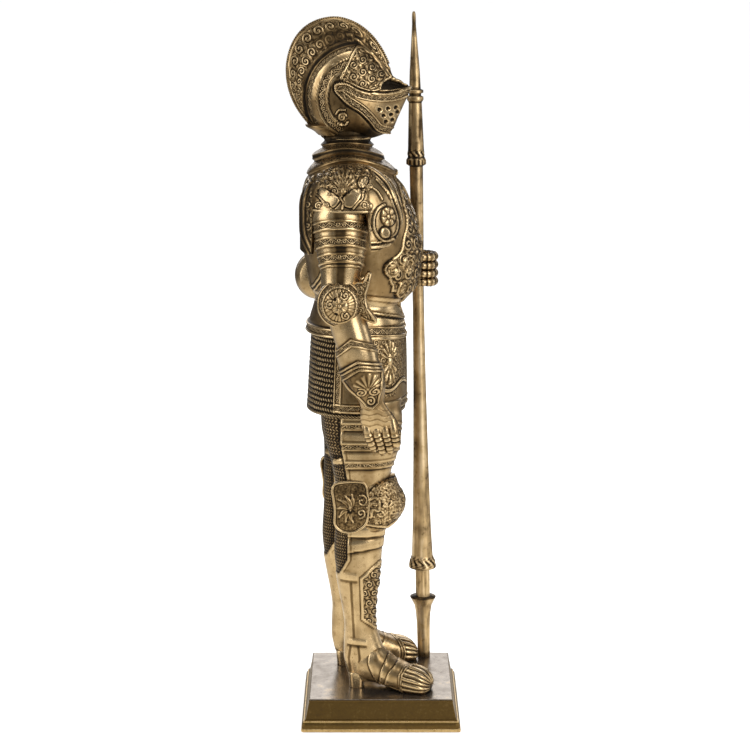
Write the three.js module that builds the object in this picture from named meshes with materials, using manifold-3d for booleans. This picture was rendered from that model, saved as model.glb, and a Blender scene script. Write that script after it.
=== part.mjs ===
// Medieval knight statue: a cast figure in ornate plate armour that stands on a square plinth and
// holds an upright lance. Millimetres, +Z up, the figure faces -Y, origin under the plinth's middle.
import * as THREE from 'three';
import Module from 'manifold-3d';

// Driving dimensions of the plinth
const PLINTH_TOP_WIDTH = 101;
const PLINTH_BASE_WIDTH = 113;
const PLINTH_HEIGHT = 22.5;
const PLINTH_BAND_HEIGHT = 7.5;
const PLINTH_BAND_ROUND = 1.6;
const PLINTH_LEDGE = 2.2;

// Driving dimensions of the figure, from the soles to the top of the helmet's comb
const FIGURE_HEIGHT = 475;
const FIGURE_OFFSET_X = 4.5;

// Driving dimensions of the lance
const LANCE_LENGTH = 477.5;
const LANCE_FOOT_X = 44;
const LANCE_FOOT_FORWARD = 32.5;
const LANCE_LEAN = 9.3;
const LANCE_HEAD_LENGTH = 55;
const LANCE_HEAD_RADIUS = 4.1;
const LANCE_NECK_RADIUS = 5.95;
const LANCE_SLEEVE_LENGTH = 52;
const LANCE_SLEEVE_RADIUS = 5.9;
const LANCE_SLEEVE_RIM_RADIUS = 7.05;
const LANCE_SHAFT_RADIUS = 4.9;
const LANCE_GRIP_RADIUS = 4.1;
const LANCE_GRIP_HEIGHT = 266;
const LANCE_BELL_RADIUS = 7.8;
const LANCE_BELL_RIM_RADIUS = 10.1;
const LANCE_BELL_HEIGHT = 71.5;
const LANCE_HANDLE_RADIUS = 5.2;
const LANCE_CUP_HEIGHT = 46;
const LANCE_CUP_RADIUS = 9.6;
const LANCE_BUTT_RADIUS = 4.6;
const GRIP_CLEARANCE = 0.35;

// Facets round a body, a limb, the lance and a small detail
const BODY_SIDES = 14;
const LIMB_SIDES = 10;
const LANCE_SIDES = 8;
const SMALL_SIDES = 5;

const wasm = await Module();
wasm.setup();

// The figure is set out in shares: 100 shares are its height. x is to its left, f is forward, z is up.
const SHARE = FIGURE_HEIGHT / 100;
const place = ([x, f, z]) => [FIGURE_OFFSET_X + x * SHARE, -f * SHARE, PLINTH_HEIGHT + z * SHARE];

const RIGHT = -1;
const LEFT = 1;

// Mesh helpers

function signedVolume(points, faces) {
  let sum = 0;
  for (const [a, b, c] of faces) {
    const [p, q, r] = [points[a], points[b], points[c]];
    sum += p[0] * (q[1] * r[2] - q[2] * r[1])
      + p[1] * (q[2] * r[0] - q[0] * r[2])
      + p[2] * (q[0] * r[1] - q[1] * r[0]);
  }
  return sum / 6;
}

function solidFrom(points, faces) {
  const outward = signedVolume(points, faces) > 0 ? faces : faces.map(([a, b, c]) => [a, c, b]);
  const mesh = new wasm.Mesh({
    numProp: 3,
    vertProperties: new Float32Array(points.flat()),
    triVerts: new Uint32Array(outward.flat()),
  });
  return new wasm.Manifold(mesh);
}

// A closed skin through rings of equal point counts, its two ends fanned shut.
function skin(rings) {
  const sides = rings[0].length;
  const points = rings.flat();
  const faces = [];
  for (let i = 0; i + 1 < rings.length; i += 1) {
    for (let j = 0; j < sides; j += 1) {
      const k = (j + 1) % sides;
      const low = i * sides;
      const high = low + sides;
      faces.push([low + j, low + k, high + k], [low + j, high + k, high + j]);
    }
  }
  for (const [row, flip] of [[0, true], [rings.length - 1, false]]) {
    const ring = rings[row];
    const middle = [0, 1, 2].map((axis) => ring.reduce((sum, p) => sum + p[axis], 0) / sides);
    const hub = points.push(middle) - 1;
    for (let j = 0; j < sides; j += 1) {
      const a = row * sides + j;
      const b = row * sides + ((j + 1) % sides);
      faces.push(flip ? [hub, b, a] : [hub, a, b]);
    }
  }
  return solidFrom(points, faces);
}

const joined = (solids) => wasm.Manifold.union(solids);

// A superellipse ring about a centre, from two half axes; n of 2 is an ellipse, more is squarer.
function ring(centre, half, across, sides, n = 2) {
  const points = [];
  for (let j = 0; j < sides; j += 1) {
    const turn = (2 * Math.PI * (j + 0.5)) / sides;
    const c = Math.sign(Math.cos(turn)) * Math.abs(Math.cos(turn)) ** (2 / n);
    const s = Math.sign(Math.sin(turn)) * Math.abs(Math.sin(turn)) ** (2 / n);
    points.push(centre.map((value, axis) => value + half[axis] * c + across[axis] * s));
  }
  return points;
}

// A loft in shares through level rings, each given as [z, back, front, half width, x, n].
function levels(rows, sides, lift = 0) {
  return skin(rows.map(([z, back, front, width, x = 0, n = 2]) => ring(
    [x, (back + front) / 2, z],
    [width + lift, 0, 0],
    [0, (front - back) / 2 + lift, 0],
    sides,
    n,
  ).map(place)));
}

// A tube in shares along a route of [x, f, z, radius, flatness, peak], its rings square to the route.
// The first ring's half axis lies nearest the guide, and the others turn with the route. The peak
// lifts a ring's outer side, as on a pointed cuff.
function limb(route, sides, lift = 0, n = 2, guide = [1, 0, 0]) {
  const spots = route.map(([x, f, z]) => new THREE.Vector3(x, f, z));
  const across = new THREE.Vector3(...guide);
  const rings = route.map(([, , , radius, flat = 1, peak = 0], i) => {
    const ahead = spots[Math.min(i + 1, spots.length - 1)];
    const behind = spots[Math.max(i - 1, 0)];
    const along = ahead.clone().sub(behind).normalize();
    across.addScaledVector(along, -across.dot(along)).normalize();
    const tall = along.clone().cross(across);
    const half = across.clone().multiplyScalar(radius * flat + lift);
    half.z += peak * Math.sign(half.x * spots[i].x || 1);
    return ring(spots[i].toArray(), half.toArray(), tall.multiplyScalar(radius + lift).toArray(), sides, n).map(place);
  });
  return skin(rings);
}

// A loop's points with a hair's gap left before its start, so that its two ends never coincide.
const loop = (points) => [
  ...points,
  points[0].map((value, axis) => points.at(-1)[axis] + (value - points.at(-1)[axis]) * 0.94),
];

// A three-sided ridge that follows a route lying on a surface, for stems, rims and scrolls.
const rib = (route, radius, outward) => limb(
  route.map(([x, f, z]) => [x, f, z, radius]), 3, 0, 2, outward.map((value) => -value),
);
const FORWARD = [0, 1, 0];
const sideways = (side) => [side, 0, 0];

// A prism over an outline in the side plane, given as [f, z], between two x places.
function sideSlab(outline, xFrom, xTo) {
  return skin([xFrom, xTo].map((x) => outline.map(([f, z]) => place([x, f, z]))));
}

const FAR = 30;
const boxed = (xs, fs, zs) => sideSlab(
  [[fs[0], zs[0]], [fs[1], zs[0]], [fs[1], zs[1]], [fs[0], zs[1]]], xs[0], xs[1],
);
// The values of a table of rows at a height; the rows run upwards or downwards in z.
function rowAt(rows, z) {
  const above = rows.findIndex((row, i) => i > 0 && (row[0] - z) * (rows[i - 1][0] - z) <= 0);
  const i = above < 0 ? rows.length - 1 : above;
  const [a, b] = [rows[i - 1], rows[i]];
  const t = (z - a[0]) / (b[0] - a[0]);
  return a.map((value, k) => value + t * (b[k] - value));
}

const mirrorRow = (side) => ([z, back, front, width, x = 0, n = 2]) => [z, back, front, width, side * x, n];

// A spiral in a plane, as [u, v] pairs, from its outer end to its eye.
function spiral(centre, radius, start, turns, steps) {
  const points = [];
  for (let i = 0; i <= steps; i += 1) {
    const t = i / steps;
    const angle = start + turns * 2 * Math.PI * t;
    const reach = radius * (1 - 0.8 * t);
    points.push([centre[0] + reach * Math.cos(angle), centre[1] + reach * Math.sin(angle)]);
  }
  return points;
}

// Torso: breastplate, backplate, waist and the mail skirt below

// Rows from the neck down to the mail skirt: [z, back, front, half width].
const GORGET_ROWS = [
  [83.1, -8.7, -1.2, 3.8],
  [82.6, -8.9, -1.1, 3.95],
  [82.2, -8.6, -1.4, 3.6],
  [81.5, -8.9, -1.0, 3.9],
  [81.3, -8.6, -1.3, 3.7],
  [79.9, -10.1, 0.5, 5.0],
  [79.5, -10.1, 0.55, 5.0],
  [79.3, -9.7, 0, 4.6],
  [77.8, -10.8, 2.3, 6.4],
  [77.3, -10.9, 2.35, 6.5],
];

const CUIRASS_ROWS = [
  [77.2, -10.6, 1.8, 6.3],
  [75, -11.4, 3.35, 8.2],
  [73, -11.6, 4.3, 8.6],
  [71.3, -11.7, 5.0, 8.8],
  [68.7, -11.6, 5.6, 8.7],
  [66.2, -11.3, 6.0, 8.3],
  [63.9, -10.9, 5.9, 7.9],
  [60.5, -10.3, 5.05, 7.0],
  [58.6, -9.9, 3.95, 6.5],
];

const WAIST_ROWS = [
  [57.8, -9.7, 2.85, 6.4],
  [56.4, -10.0, 3.4, 7.1],
  [56.2, -10.2, 3.7, 7.4],
  [56.0, -10.1, 3.5, 7.2],
  [54.6, -10.4, 3.75, 7.8],
];

const SKIRT_TOP = 54;
const SKIRT_HEM = 42.3;
const SKIRT_RIDGES = 8;

function skirtRow(z, lift = 0) {
  const drop = (SKIRT_TOP - z) / (SKIRT_TOP - SKIRT_HEM);
  return [z, -10.25 - 0.75 * drop - lift, 3.15 + 0.25 * drop + lift, 7.9 + 1.1 * drop + lift];
}

function skirtRows() {
  const pitch = (SKIRT_TOP - SKIRT_HEM) / SKIRT_RIDGES;
  const rows = [];
  for (let i = 0; i < SKIRT_RIDGES; i += 1) {
    const high = SKIRT_TOP - i * pitch;
    rows.push(skirtRow(high, -0.18), skirtRow(high - pitch / 2, 0.18));
  }
  rows.push(skirtRow(SKIRT_HEM, -0.18));
  return rows;
}

// One front tasset: lames over the skirt, from near the middle round to the hip.
function tasset(side) {
  const shell = (lift, low, high) => levels([low, high].map((z) => skirtRow(z, lift)), BODY_SIDES);
  const reach = side === RIGHT ? [-FAR, -0.35] : [0.35, FAR];
  const keep = boxed(reach, [-5.9, FAR], [40, 60]);
  const plate = [
    shell(0.36, 42.5, 54.9),
    shell(0.7, 51.0, 51.7),
    shell(0.62, 42.45, 43.6),
  ];
  return joined(plate).intersect(keep);
}

// The culet: a flared plate over the seat with a rolled, corded rim.
function culet() {
  const rows = [
    [58.4, -9.9, 1, 6.6],
    [56.4, -10.5, 1, 7.6],
    [54.6, -11.05, 1, 8.6],
    [54.3, -11.45, 1, 9.0],
    [53.4, -11.45, 1, 9.0],
    [53.1, -10.9, 1, 8.5],
  ];
  return levels(rows, BODY_SIDES).intersect(boxed([-FAR, FAR], [-FAR, -4.6], [50, 60]));
}

// How far a facet's middle lies inside the round that it stands for
const FACET_SAG = 0.1;

// A medallion in a scrolled shield on the breast, with a leaf crest over it.
function breastOrnament() {
  const depthAt = (x, z) => {
    const [, back, front, width] = rowAt(CUIRASS_ROWS, z);
    return (back + front) / 2 + ((front - back) / 2) * Math.sqrt(Math.max(0, 1 - (x / width) ** 2)) - FACET_SAG;
  };
  const onBreast = (line, radius) => rib(
    line.map(([x, z]) => [x, depthAt(x, z), z]), radius, FORWARD,
  );
  const oval = [];
  for (let i = 0; i < 8; i += 1) {
    const turn = ((i + 0.3) / 8) * 2 * Math.PI;
    oval.push([1.15 * Math.cos(turn), 66 + 1.7 * Math.sin(turn)]);
  }
  const ribs = [onBreast(loop(oval), 0.36)];
  for (const side of [RIGHT, LEFT]) {
    const turned = (line) => line.map(([x, z]) => [side * x, z]);
    ribs.push(onBreast(turned(spiral([2.9, 67.4], 1.25, -0.5, 0.9, 5)), 0.36));
    ribs.push(onBreast(turned(spiral([2.7, 63.3], 1.3, 2.6, -0.9, 5)), 0.36));
    ribs.push(onBreast(turned([[0.3, 68.2], [0.9, 70], [1.5, 73]]), 0.36));
  }
  return joined(ribs);
}

function torso() {
  return joined([
    levels([...GORGET_ROWS, ...CUIRASS_ROWS, ...WAIST_ROWS, ...skirtRows()], BODY_SIDES),
    tasset(RIGHT),
    tasset(LEFT),
    culet(),
    breastOrnament(),
  ]);
}

// Helmet: a close burgonet whose skull, comb, visor and beaver share one side outline

const HELMET_EAR = [-4.4, 88.6];
const HELMET_HALF_WIDTH = 4.9;
const COMB_RIM_HALF = 0.36;
const COMB_ROOT_HALF = 1.25;
const COMB_CORD_RADIUS = 0.55;

// Each row: the skull's [f, z], the comb's [f, z] over it, and how square the cross-section is.
const HELMET_ROWS = [
  [[4.1, 89.75], [4.1, 89.75], 1.35],
  [[3.2, 90.35], [3.3, 90.4], 1.4],
  [[2.1, 90.95], [2.3, 91.1], 1.6],
  [[1.3, 91.6], [1.7, 91.6], 1.8],
  [[0.5, 92.6], [0.93, 93.04], 1.9],
  [[-0.6, 93.9], [-0.08, 95.02], 2],
  [[-1.9, 95.3], [-1.58, 97.17], 2],
  [[-3.4, 96.3], [-3.39, 98.64], 2],
  [[-5.2, 96.8], [-6.23, 99.86], 2],
  [[-7.2, 96.6], [-9.2, 99.06], 2],
  [[-8.9, 95.7], [-11.03, 97.51], 2],
  [[-10.3, 94.3], [-12.57, 95.36], 2],
  [[-11.3, 92.1], [-13.6, 91.88], 2],
  [[-11.5, 89.9], [-13.35, 89.91], 2],
  [[-11.1, 87.5], [-12.29, 87.06], 2],
  [[-10.0, 84.9], [-10.29, 84.75], 2],
  [[-9.2, 83.4], [-9.2, 83.4], 2],
  [[-8.3, 82.4], [-8.3, 82.4], 2],
  [[-5, 82.3], [-5, 82.3], 2],
  [[-1.8, 82.4], [-1.8, 82.4], 2],
  [[0.3, 83.0], [0.3, 83.0], 1.8],
  [[1.35, 83.6], [1.35, 83.6], 1.6],
  [[2.3, 85.7], [2.3, 85.7], 1.5],
  [[3.3, 87.9], [3.3, 87.9], 1.4],
];

const mix = (a, b, t) => a.map((value, axis) => value + (b[axis] - value) * t);

// The rings of one half: [distance from the middle plane, how much of the comb it reaches]
const HELMET_STATIONS = [
  [COMB_RIM_HALF, 1], [COMB_RIM_HALF * 1.7, 0.4], [COMB_ROOT_HALF, 0], [2.8, 0], [4.0, 0], [4.7, 0],
];

// One ring of the helmet at a distance x from the middle plane.
function helmetRing(x, combPart, lift) {
  const width = HELMET_HALF_WIDTH + lift;
  const share = Math.min(Math.abs(x) / width, 0.9999);
  return HELMET_ROWS.map(([skull, comb, n]) => {
    const edge = mix(skull, comb, combPart);
    const shrink = (1 - share ** n) ** (1 / n);
    const [df, dz] = [edge[0] - HELMET_EAR[0], edge[1] - HELMET_EAR[1]];
    const length = Math.hypot(df, dz);
    const reach = shrink * (1 + lift / length);
    return place([x, HELMET_EAR[0] + df * reach, HELMET_EAR[1] + dz * reach]);
  });
}

function helmetForm(lift = 0) {
  const half = HELMET_STATIONS.map(([x, combPart]) => [x * (1 + lift / HELMET_HALF_WIDTH), combPart]);
  const stations = [...half.map(([x, combPart]) => [-x, combPart]).reverse(), ...half];
  return skin(stations.map(([x, combPart]) => helmetRing(x, combPart, lift)));
}

// Side outlines over the helmet, as [f, z]
const VISOR_OUTLINE = [
  [-6.5, 89.4], [-5.9, 90.3], [-4.6, 90.75], [-3.05, 89.95], [-1.76, 89.6], [-0.5, 89.3], [1.45, 89.35],
  [2.8, 89.65], [5.5, 90.1], [5.5, 86], [2.5, 82.8], [0.56, 83.05], [-0.74, 83.7], [-1.4, 84.3],
  [-2.3, 85.5], [-3.3, 86.6], [-4.85, 87.7],
];
const EYE_SLIT = [
  [-0.35, 89.65], [0.3, 90.25], [1.3, 90.55], [2.4, 90.4], [3.3, 90.15], [3.2, 89.95], [1.4, 89.6],
];
function helmet() {
  const base = helmetForm();
  const visor = helmetForm(0.28).intersect(sideSlab(VISOR_OUTLINE, -FAR, FAR));
  const slit = helmetForm(0.6).intersect(sideSlab(EYE_SLIT, -FAR, FAR)).subtract(helmetForm(-0.45));
  const cord = HELMET_ROWS.slice(5, 16).map(([, [f, z]]) => [0, f, z, COMB_CORD_RADIUS]);
  const nape = levels([
    [83.1, -9.2, -5, 3.0],
    [84.2, -10.9, -5, 3.5],
    [84.5, -10.75, -5, 3.4],
    [84.62, -9.6, -5, 3.0],
  ], SMALL_SIDES + 2);
  return joined([base, visor, limb(cord, 4), nape]).subtract(slit);
}

// Pauldrons: a dome over each shoulder with wings on the breast and the back

const PAULDRON_TOP = 79.4;
const PAULDRON_EQUATOR = 73.4;
const PAULDRON_FLOOR = 64.2;
const PAULDRON_X = 6.3;
const PAULDRON_REACH = 8.3;
const PAULDRON_MIDDLE = -4.2;
const PAULDRON_DEPTH = 7.75;

const PAULDRON_OUTLINE = [
  [-12.2, 80], [-12.2, 70], [-10.9, 67.9], [-10.3, 66.9], [-9.2, 67.1], [-8.7, 70.1], [-9.9, 72.9],
  [-8.2, 73.35], [-5.9, 73.6], [-3.6, 73.45], [-1.7, 73.1], [-2.3, 70], [-2.2, 67.7], [-0.9, 67.7],
  [0.9, 68.3], [2.4, 69.5], [3.0, 71.6], [2.75, 73.9], [1.9, 76.3], [0.6, 78.5], [-1.3, 81], [-5, 82],
];

function pauldronReach(f, z) {
  const tall = z > PAULDRON_EQUATOR ? PAULDRON_TOP - PAULDRON_EQUATOR : PAULDRON_EQUATOR - PAULDRON_FLOOR;
  const left = 1 - ((f - PAULDRON_MIDDLE) / PAULDRON_DEPTH) ** 2 - ((z - PAULDRON_EQUATOR) / tall) ** 2;
  return PAULDRON_X + PAULDRON_REACH * Math.sqrt(Math.max(0, left)) - FACET_SAG;
}

function pauldronForm(side, lift = 0) {
  const rows = [];
  for (const z of [64.6, 66.5, 70, 73.4, 75.8, 77.8, 79]) {
    const tall = z > PAULDRON_EQUATOR ? PAULDRON_TOP - PAULDRON_EQUATOR : PAULDRON_EQUATOR - PAULDRON_FLOOR;
    const r = Math.sqrt(1 - ((z - PAULDRON_EQUATOR) / tall) ** 2);
    rows.push([z, PAULDRON_MIDDLE - PAULDRON_DEPTH * r, PAULDRON_MIDDLE + PAULDRON_DEPTH * r,
      PAULDRON_REACH * r, side * PAULDRON_X]);
  }
  return levels(rows, BODY_SIDES, lift);
}

function pauldron(side) {
  const dome = pauldronForm(side).intersect(sideSlab(PAULDRON_OUTLINE, side * 2, side * FAR));
  const laid = (line, radius) => rib(
    line.map(([f, z]) => [side * pauldronReach(f, z), f, z]), radius, sideways(side),
  );
  const oval = [];
  for (let i = 0; i < 8; i += 1) {
    const turn = ((i + 0.3) / 8) * 2 * Math.PI;
    oval.push([0.95 + 1.3 * Math.cos(turn), 71.1 + 1.75 * Math.sin(turn)]);
  }
  const ribs = [
    laid(loop(oval), 0.34),
    laid([[-9.6, 73.3], [-5.9, 74], [-1.9, 73.5]], 0.34),
    laid([[-0.9, 68.2], [1.9, 69.7], [2.6, 71.8], [2.3, 74], [1.3, 76.2]], 0.36),
    laid([[-5.3, 74.3], [-4, 76.6], [-2.3, 76]], 0.36),
    laid([[-6.1, 74.3], [-7.4, 76.6], [-9, 75.8]], 0.36),
  ];
  return joined([dome, ...ribs]);
}

// Arms

// Upper arm lames as level rows from the pauldron down to the couter.
function upperArm(side, route, edges) {
  const [top, middle, low] = route;
  const centreAt = (z) => {
    const [a, b] = z > middle[2] ? [top, middle] : [middle, low];
    const t = (z - a[2]) / (b[2] - a[2]);
    return [0, 1, 3].map((k) => a[k] + t * (b[k] - a[k]));
  };
  const rows = [];
  for (const [z, step] of edges) {
    const [x, f, r] = centreAt(z);
    rows.push([z, f - r - step, f + r + step, r * 0.93 + step, side * x]);
  }
  return levels(rows, LIMB_SIDES);
}

const LAME_STEPS = [
  [74.6, 0], [71.95, 0], [71.9, 0.2], [70.65, 0.22], [70.6, 0.02], [69.35, 0], [69.3, 0.18], [68.1, 0.2],
  [68.05, 0], [67.15, 0], [67.1, 0.2], [65.5, 0.24], [65.45, 0], [60.6, -0.1],
];

function couter(side, centre, radius, wing) {
  const [x, f, z] = centre;
  const out = side * x;
  const cup = levels([
    [z - radius, f - 0.6, f + 0.6, 0.6, out],
    [z - radius * 0.85, f - radius * 0.55, f + radius * 0.55, radius * 0.55, out],
    [z - radius * 0.5, f - radius * 0.87, f + radius * 0.87, radius * 0.9, out],
    [z, f - radius, f + radius, radius * 1.03, out],
    [z + radius * 0.5, f - radius * 0.87, f + radius * 0.87, radius * 0.9, out],
    [z + radius * 0.85, f - radius * 0.55, f + radius * 0.55, radius * 0.55, out],
    [z + radius, f - 0.6, f + 0.6, 0.6, out],
  ], LIMB_SIDES);
  const hub = limb([[out + side * radius * 0.6, f, z, 1.0], [out + side * radius * 1.08, f, z, 0.55]], SMALL_SIDES);
  const wingPlate = sideSlab(wing, side * (x - 1.6), side * (x + 1.9));
  return joined([cup, hub, wingPlate]);
}

// The right arm hangs; its gauntlet has a pointed cuff and an open hand.
const RIGHT_ARM = [[11.0, -5.7, 74.5, 3.55], [11.6, -5.45, 66, 3.15], [12.1, -5.9, 60.5, 2.65]];
const RIGHT_WING = [
  [-3.6, 63.0], [-2.2, 63.9], [-1.15, 65.15], [-0.9, 64.5], [-1.6, 62.6], [-1.75, 60.9], [-1.2, 59.2],
  [-0.5, 57.9], [-1.5, 57.6], [-3.2, 58.3], [-4.2, 58.8], [-4.4, 62.2],
];
function rightArm() {
  const side = RIGHT;
  const forearm = limb([
    [-12.2, -5.6, 60.2, 2.75], [-12.3, -4.4, 56, 2.7], [-12.3, -3.9, 54.3, 2.65, 1, 1.1],
    [-12.3, -3.75, 54.0, 3.4, 0.9, 1.1], [-12.25, -3.2, 51.2, 3.1, 0.88, 1.0],
    [-12.25, -3.1, 51.0, 3.3, 0.88, 1.0], [-12.1, -1.9, 47.4, 2.3, 0.8], [-12.0, -1.35, 45.5, 1.8, 0.78],
    [-11.85, -0.9, 43.6, 2.25, 0.56], [-11.7, -0.35, 41.6, 2.45, 0.46], [-11.65, 0, 40.4, 2.3, 0.4],
  ], LIMB_SIDES);
  const fingers = [[-1.85, 1.0, 0.7], [-0.65, 0.15, 1.0], [0.6, -0.05, 1.05], [1.75, 0.55, 0.85]];
  const tips = fingers.map(([offset, short, spread]) => limb([
    [-11.7, offset - 0.05, 41.4, 0.64],
    [-11.75, offset + 0.5 * spread, 39.6, 0.6],
    [-11.5, offset + 1.05 * spread, 37.3 + short, 0.5],
    [-11.35, offset + 1.15 * spread, 36.8 + short, 0.25],
  ], SMALL_SIDES));
  const thumb = limb([
    [-11.0, 0.9, 43.4, 0.7], [-10.6, 1.9, 41.8, 0.62], [-10.5, 2.3, 40.3, 0.5], [-10.5, 2.3, 39.6, 0.3],
  ], SMALL_SIDES);
  return joined([
    upperArm(side, RIGHT_ARM, LAME_STEPS),
    couter(side, [12.6, -6.0, 60.4], 3.2, RIGHT_WING),
    forearm, thumb, ...tips,
  ]);
}

// The lance's axis in shares of the figure, and its place at a height over the plinth in millimetres
const lanceAxis = (height) => [LANCE_FOOT_X, -LANCE_FOOT_FORWARD + (LANCE_LEAN * height) / LANCE_LENGTH];
const toShares = ([x, y], height) => [(x - FIGURE_OFFSET_X) / SHARE, -y / SHARE, height / SHARE];

// The left arm bends at the elbow and its fist closes round the lance.
const FIST_SHARE = 61.9;
const FINGER_PITCH = 1.27;
const FINGER_RADIUS = 0.62;
const FINGER_BENDS = 4;
const LEFT_WING = [
  [-8.2, 63.2], [-6.6, 64.2], [-5.6, 64.6], [-5.7, 63.2], [-6.3, 61.5], [-6.3, 60], [-5.6, 58.3],
  [-5.4, 57.2], [-6.6, 57.0], [-8.4, 57.8], [-9, 60],
];

function fist() {
  const height = FIST_SHARE * SHARE;
  const [lx, lf] = toShares(lanceAxis(height), height);
  const gripRadius = (LANCE_GRIP_RADIUS + GRIP_CLEARANCE) / SHARE;
  const parts = [];
  for (let row = 0; row < 4; row += 1) {
    const z = FIST_SHARE + (1.5 - row) * FINGER_PITCH;
    const reach = gripRadius + FINGER_RADIUS + 0.35;
    const route = [];
    for (let i = 0; i <= FINGER_BENDS; i += 1) {
      const turn = -0.5 + (i / FINGER_BENDS) * 3.85;
      const tip = i === FINGER_BENDS;
      route.push([
        lx + reach * Math.cos(turn) * 1.1,
        lf + 0.3 + reach * Math.sin(turn) * (tip ? 0.9 : 1.15),
        z,
        tip ? FINGER_RADIUS * 0.6 : FINGER_RADIUS,
      ]);
    }
    parts.push(limb(route, SMALL_SIDES));
  }
  const palm = limb([
    [lx + 1.55, lf - 3.4, FIST_SHARE - 0.2, 1.8, 0.7], [lx + 1.6, lf - 1.8, FIST_SHARE, 2.4, 0.5],
    [lx + 1.6, lf, FIST_SHARE, 2.5, 0.42], [lx + 1.45, lf + 1.1, FIST_SHARE, 2.35, 0.4],
  ], LIMB_SIDES, 0, 2.6);
  const thumb = limb([
    [lx + 1.2, lf - 1.7, FIST_SHARE + 1.6, 0.75], [lx, lf - 1.9, FIST_SHARE + 2.3, 0.7],
    [lx - 1.2, lf - 1.2, FIST_SHARE + 2.5, 0.62], [lx - 1.55, lf - 0.2, FIST_SHARE + 2.4, 0.35],
  ], SMALL_SIDES);
  return joined([...parts, palm, thumb]);
}

function leftArm() {
  const side = LEFT;
  const elbow = [12.5, -9.75, 60.25];
  const route = [[11.0, -5.7, 74.5, 3.55], [11.6, -7.4, 66, 3.15], [12.1, -9.3, 60.5, 2.65]];
  const height = FIST_SHARE * SHARE;
  const [lx, lf] = toShares(lanceAxis(height), height);
  const wrist = [lx + 1.55, lf - 3.2, FIST_SHARE - 0.3];
  const between = (t, radius, flat = 1) => {
    const spot = elbow.map((value, axis) => value + (wrist[axis] - value) * t);
    return [...spot, radius, flat];
  };
  const forearm = limb([
    between(-0.05, 2.6), between(0.25, 2.7), between(0.38, 2.6), between(0.42, 3.35), between(0.66, 2.7, 0.92),
    between(0.67, 2.85, 0.92), between(0.9, 1.9, 0.8), between(1.12, 1.9, 0.6),
  ], LIMB_SIDES);
  return joined([
    upperArm(side, route, LAME_STEPS),
    couter(side, elbow, 3.3, LEFT_WING),
    forearm, fist(),
  ]);
}

// Legs: [z, back, front, half width, x] rows for the right one; the left stands back by a stride

const LEG_ROWS = [
  [44.5, -9.2, 3.0, 4.4, 4.4],
  [41, -8.8, 3.0, 4.35, 4.45],
  [38, -8.4, 2.8, 4.2, 4.6],
  [35.6, -7.75, 2.1, 4.0, 4.7],
  [33.2, -7.25, 1.5, 3.75, 4.75],
  [31, -6.9, 1.3, 3.45, 4.8],
  [28.5, -6.8, 1.5, 3.3, 4.8],
  [25, -6.95, 0.65, 3.2, 4.85],
  [21.5, -7.15, 0.2, 3.15, 4.9],
  [17.4, -6.5, -0.05, 2.95, 4.95],
  [14.5, -5.95, -0.4, 2.65, 5],
  [11.7, -5.43, -0.69, 2.4, 5],
  [9.4, -5.2, -0.62, 2.25, 5],
  [7.06, -5.22, -0.1, 2.25, 5],
  [5, -5.15, 0.7, 2.2, 5.05],
  [3, -4.95, 0.6, 2.0, 5.05],
];

// The lower edges of the lames over and under the knee stand proud, as [z, step].
const LEG_EDGES = [
  [44.5, 0], [39.45, 0.34], [39.4, 0.02], [36.5, 0.32], [36.45, 0], [33.75, 0.3], [33.7, 0], [31, 0],
  [28.5, 0], [25, 0.1], [23.25, 0.42], [23.2, 0.12], [21.6, 0.4], [21.55, 0.02], [17.4, 0], [14.5, 0],
  [11.7, 0], [9.4, 0], [7.06, 0], [5, 0], [3, 0],
];

function legForm(side, stride) {
  return levels(LEG_EDGES.map(([z, step]) => {
    const [, back, front, width, x] = rowAt(LEG_ROWS, z);
    return [z, back + stride, front + stride + step, width + step * 0.6, side * x, 2.1];
  }), LIMB_SIDES);
}

const KNEE_WING = [
  [-7.45, 31.2], [-6.7, 32.5], [-4.6, 32.85], [-2.6, 32.3], [-1.8, 30.4], [-2.1, 28.9],
  [-1.7, 27.2], [-2.4, 25.3], [-4.6, 24.65], [-6.6, 25.5], [-7.3, 27.3], [-7.5, 29.9],
];

function knee(side, stride) {
  const cap = levels([
    [24.7, -3.4, 0.9, 3.1, 4.8], [26.4, -4.4, 2.7, 3.75, 4.8], [28.8, -4.9, 3.5, 4.0, 4.8],
    [31.2, -4.2, 2.7, 3.9, 4.8], [32.8, -3.4, 2.0, 3.8, 4.8], [33.1, -3.2, 1.6, 3.4, 4.8],
  ].map(mirrorRow(side)), LIMB_SIDES).translate(0, -stride * SHARE, 0);
  const moved = KNEE_WING.map(([f, z]) => [f + stride, z]);
  const wing = sideSlab(moved, side * 7.6, side * 8.75);
  const edge = side * 8.75;
  const rim = rib(loop(moved).map(([f, z]) => [edge, f, z + 0.02]), 0.26, sideways(side));
  const scrolls = [[[-2.9, 29.6], 0.85, 0], [[-2.9, 27.8], 0.7, 3]].map(([centre, radius, start]) => rib(
    spiral(centre, radius, start, start > 0 ? -0.9 : 0.9, 5).map(([f, z]) => [edge, f + stride, z]),
    0.22,
    sideways(side),
  ));
  return joined([cap, wing, rim, ...scrolls]);
}

// The foot is set out along its own axis from the ankle and then turned outwards.
const TOES_OUT = THREE.MathUtils.degToRad(15);
const TOE_FLUTES = 8;

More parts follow.
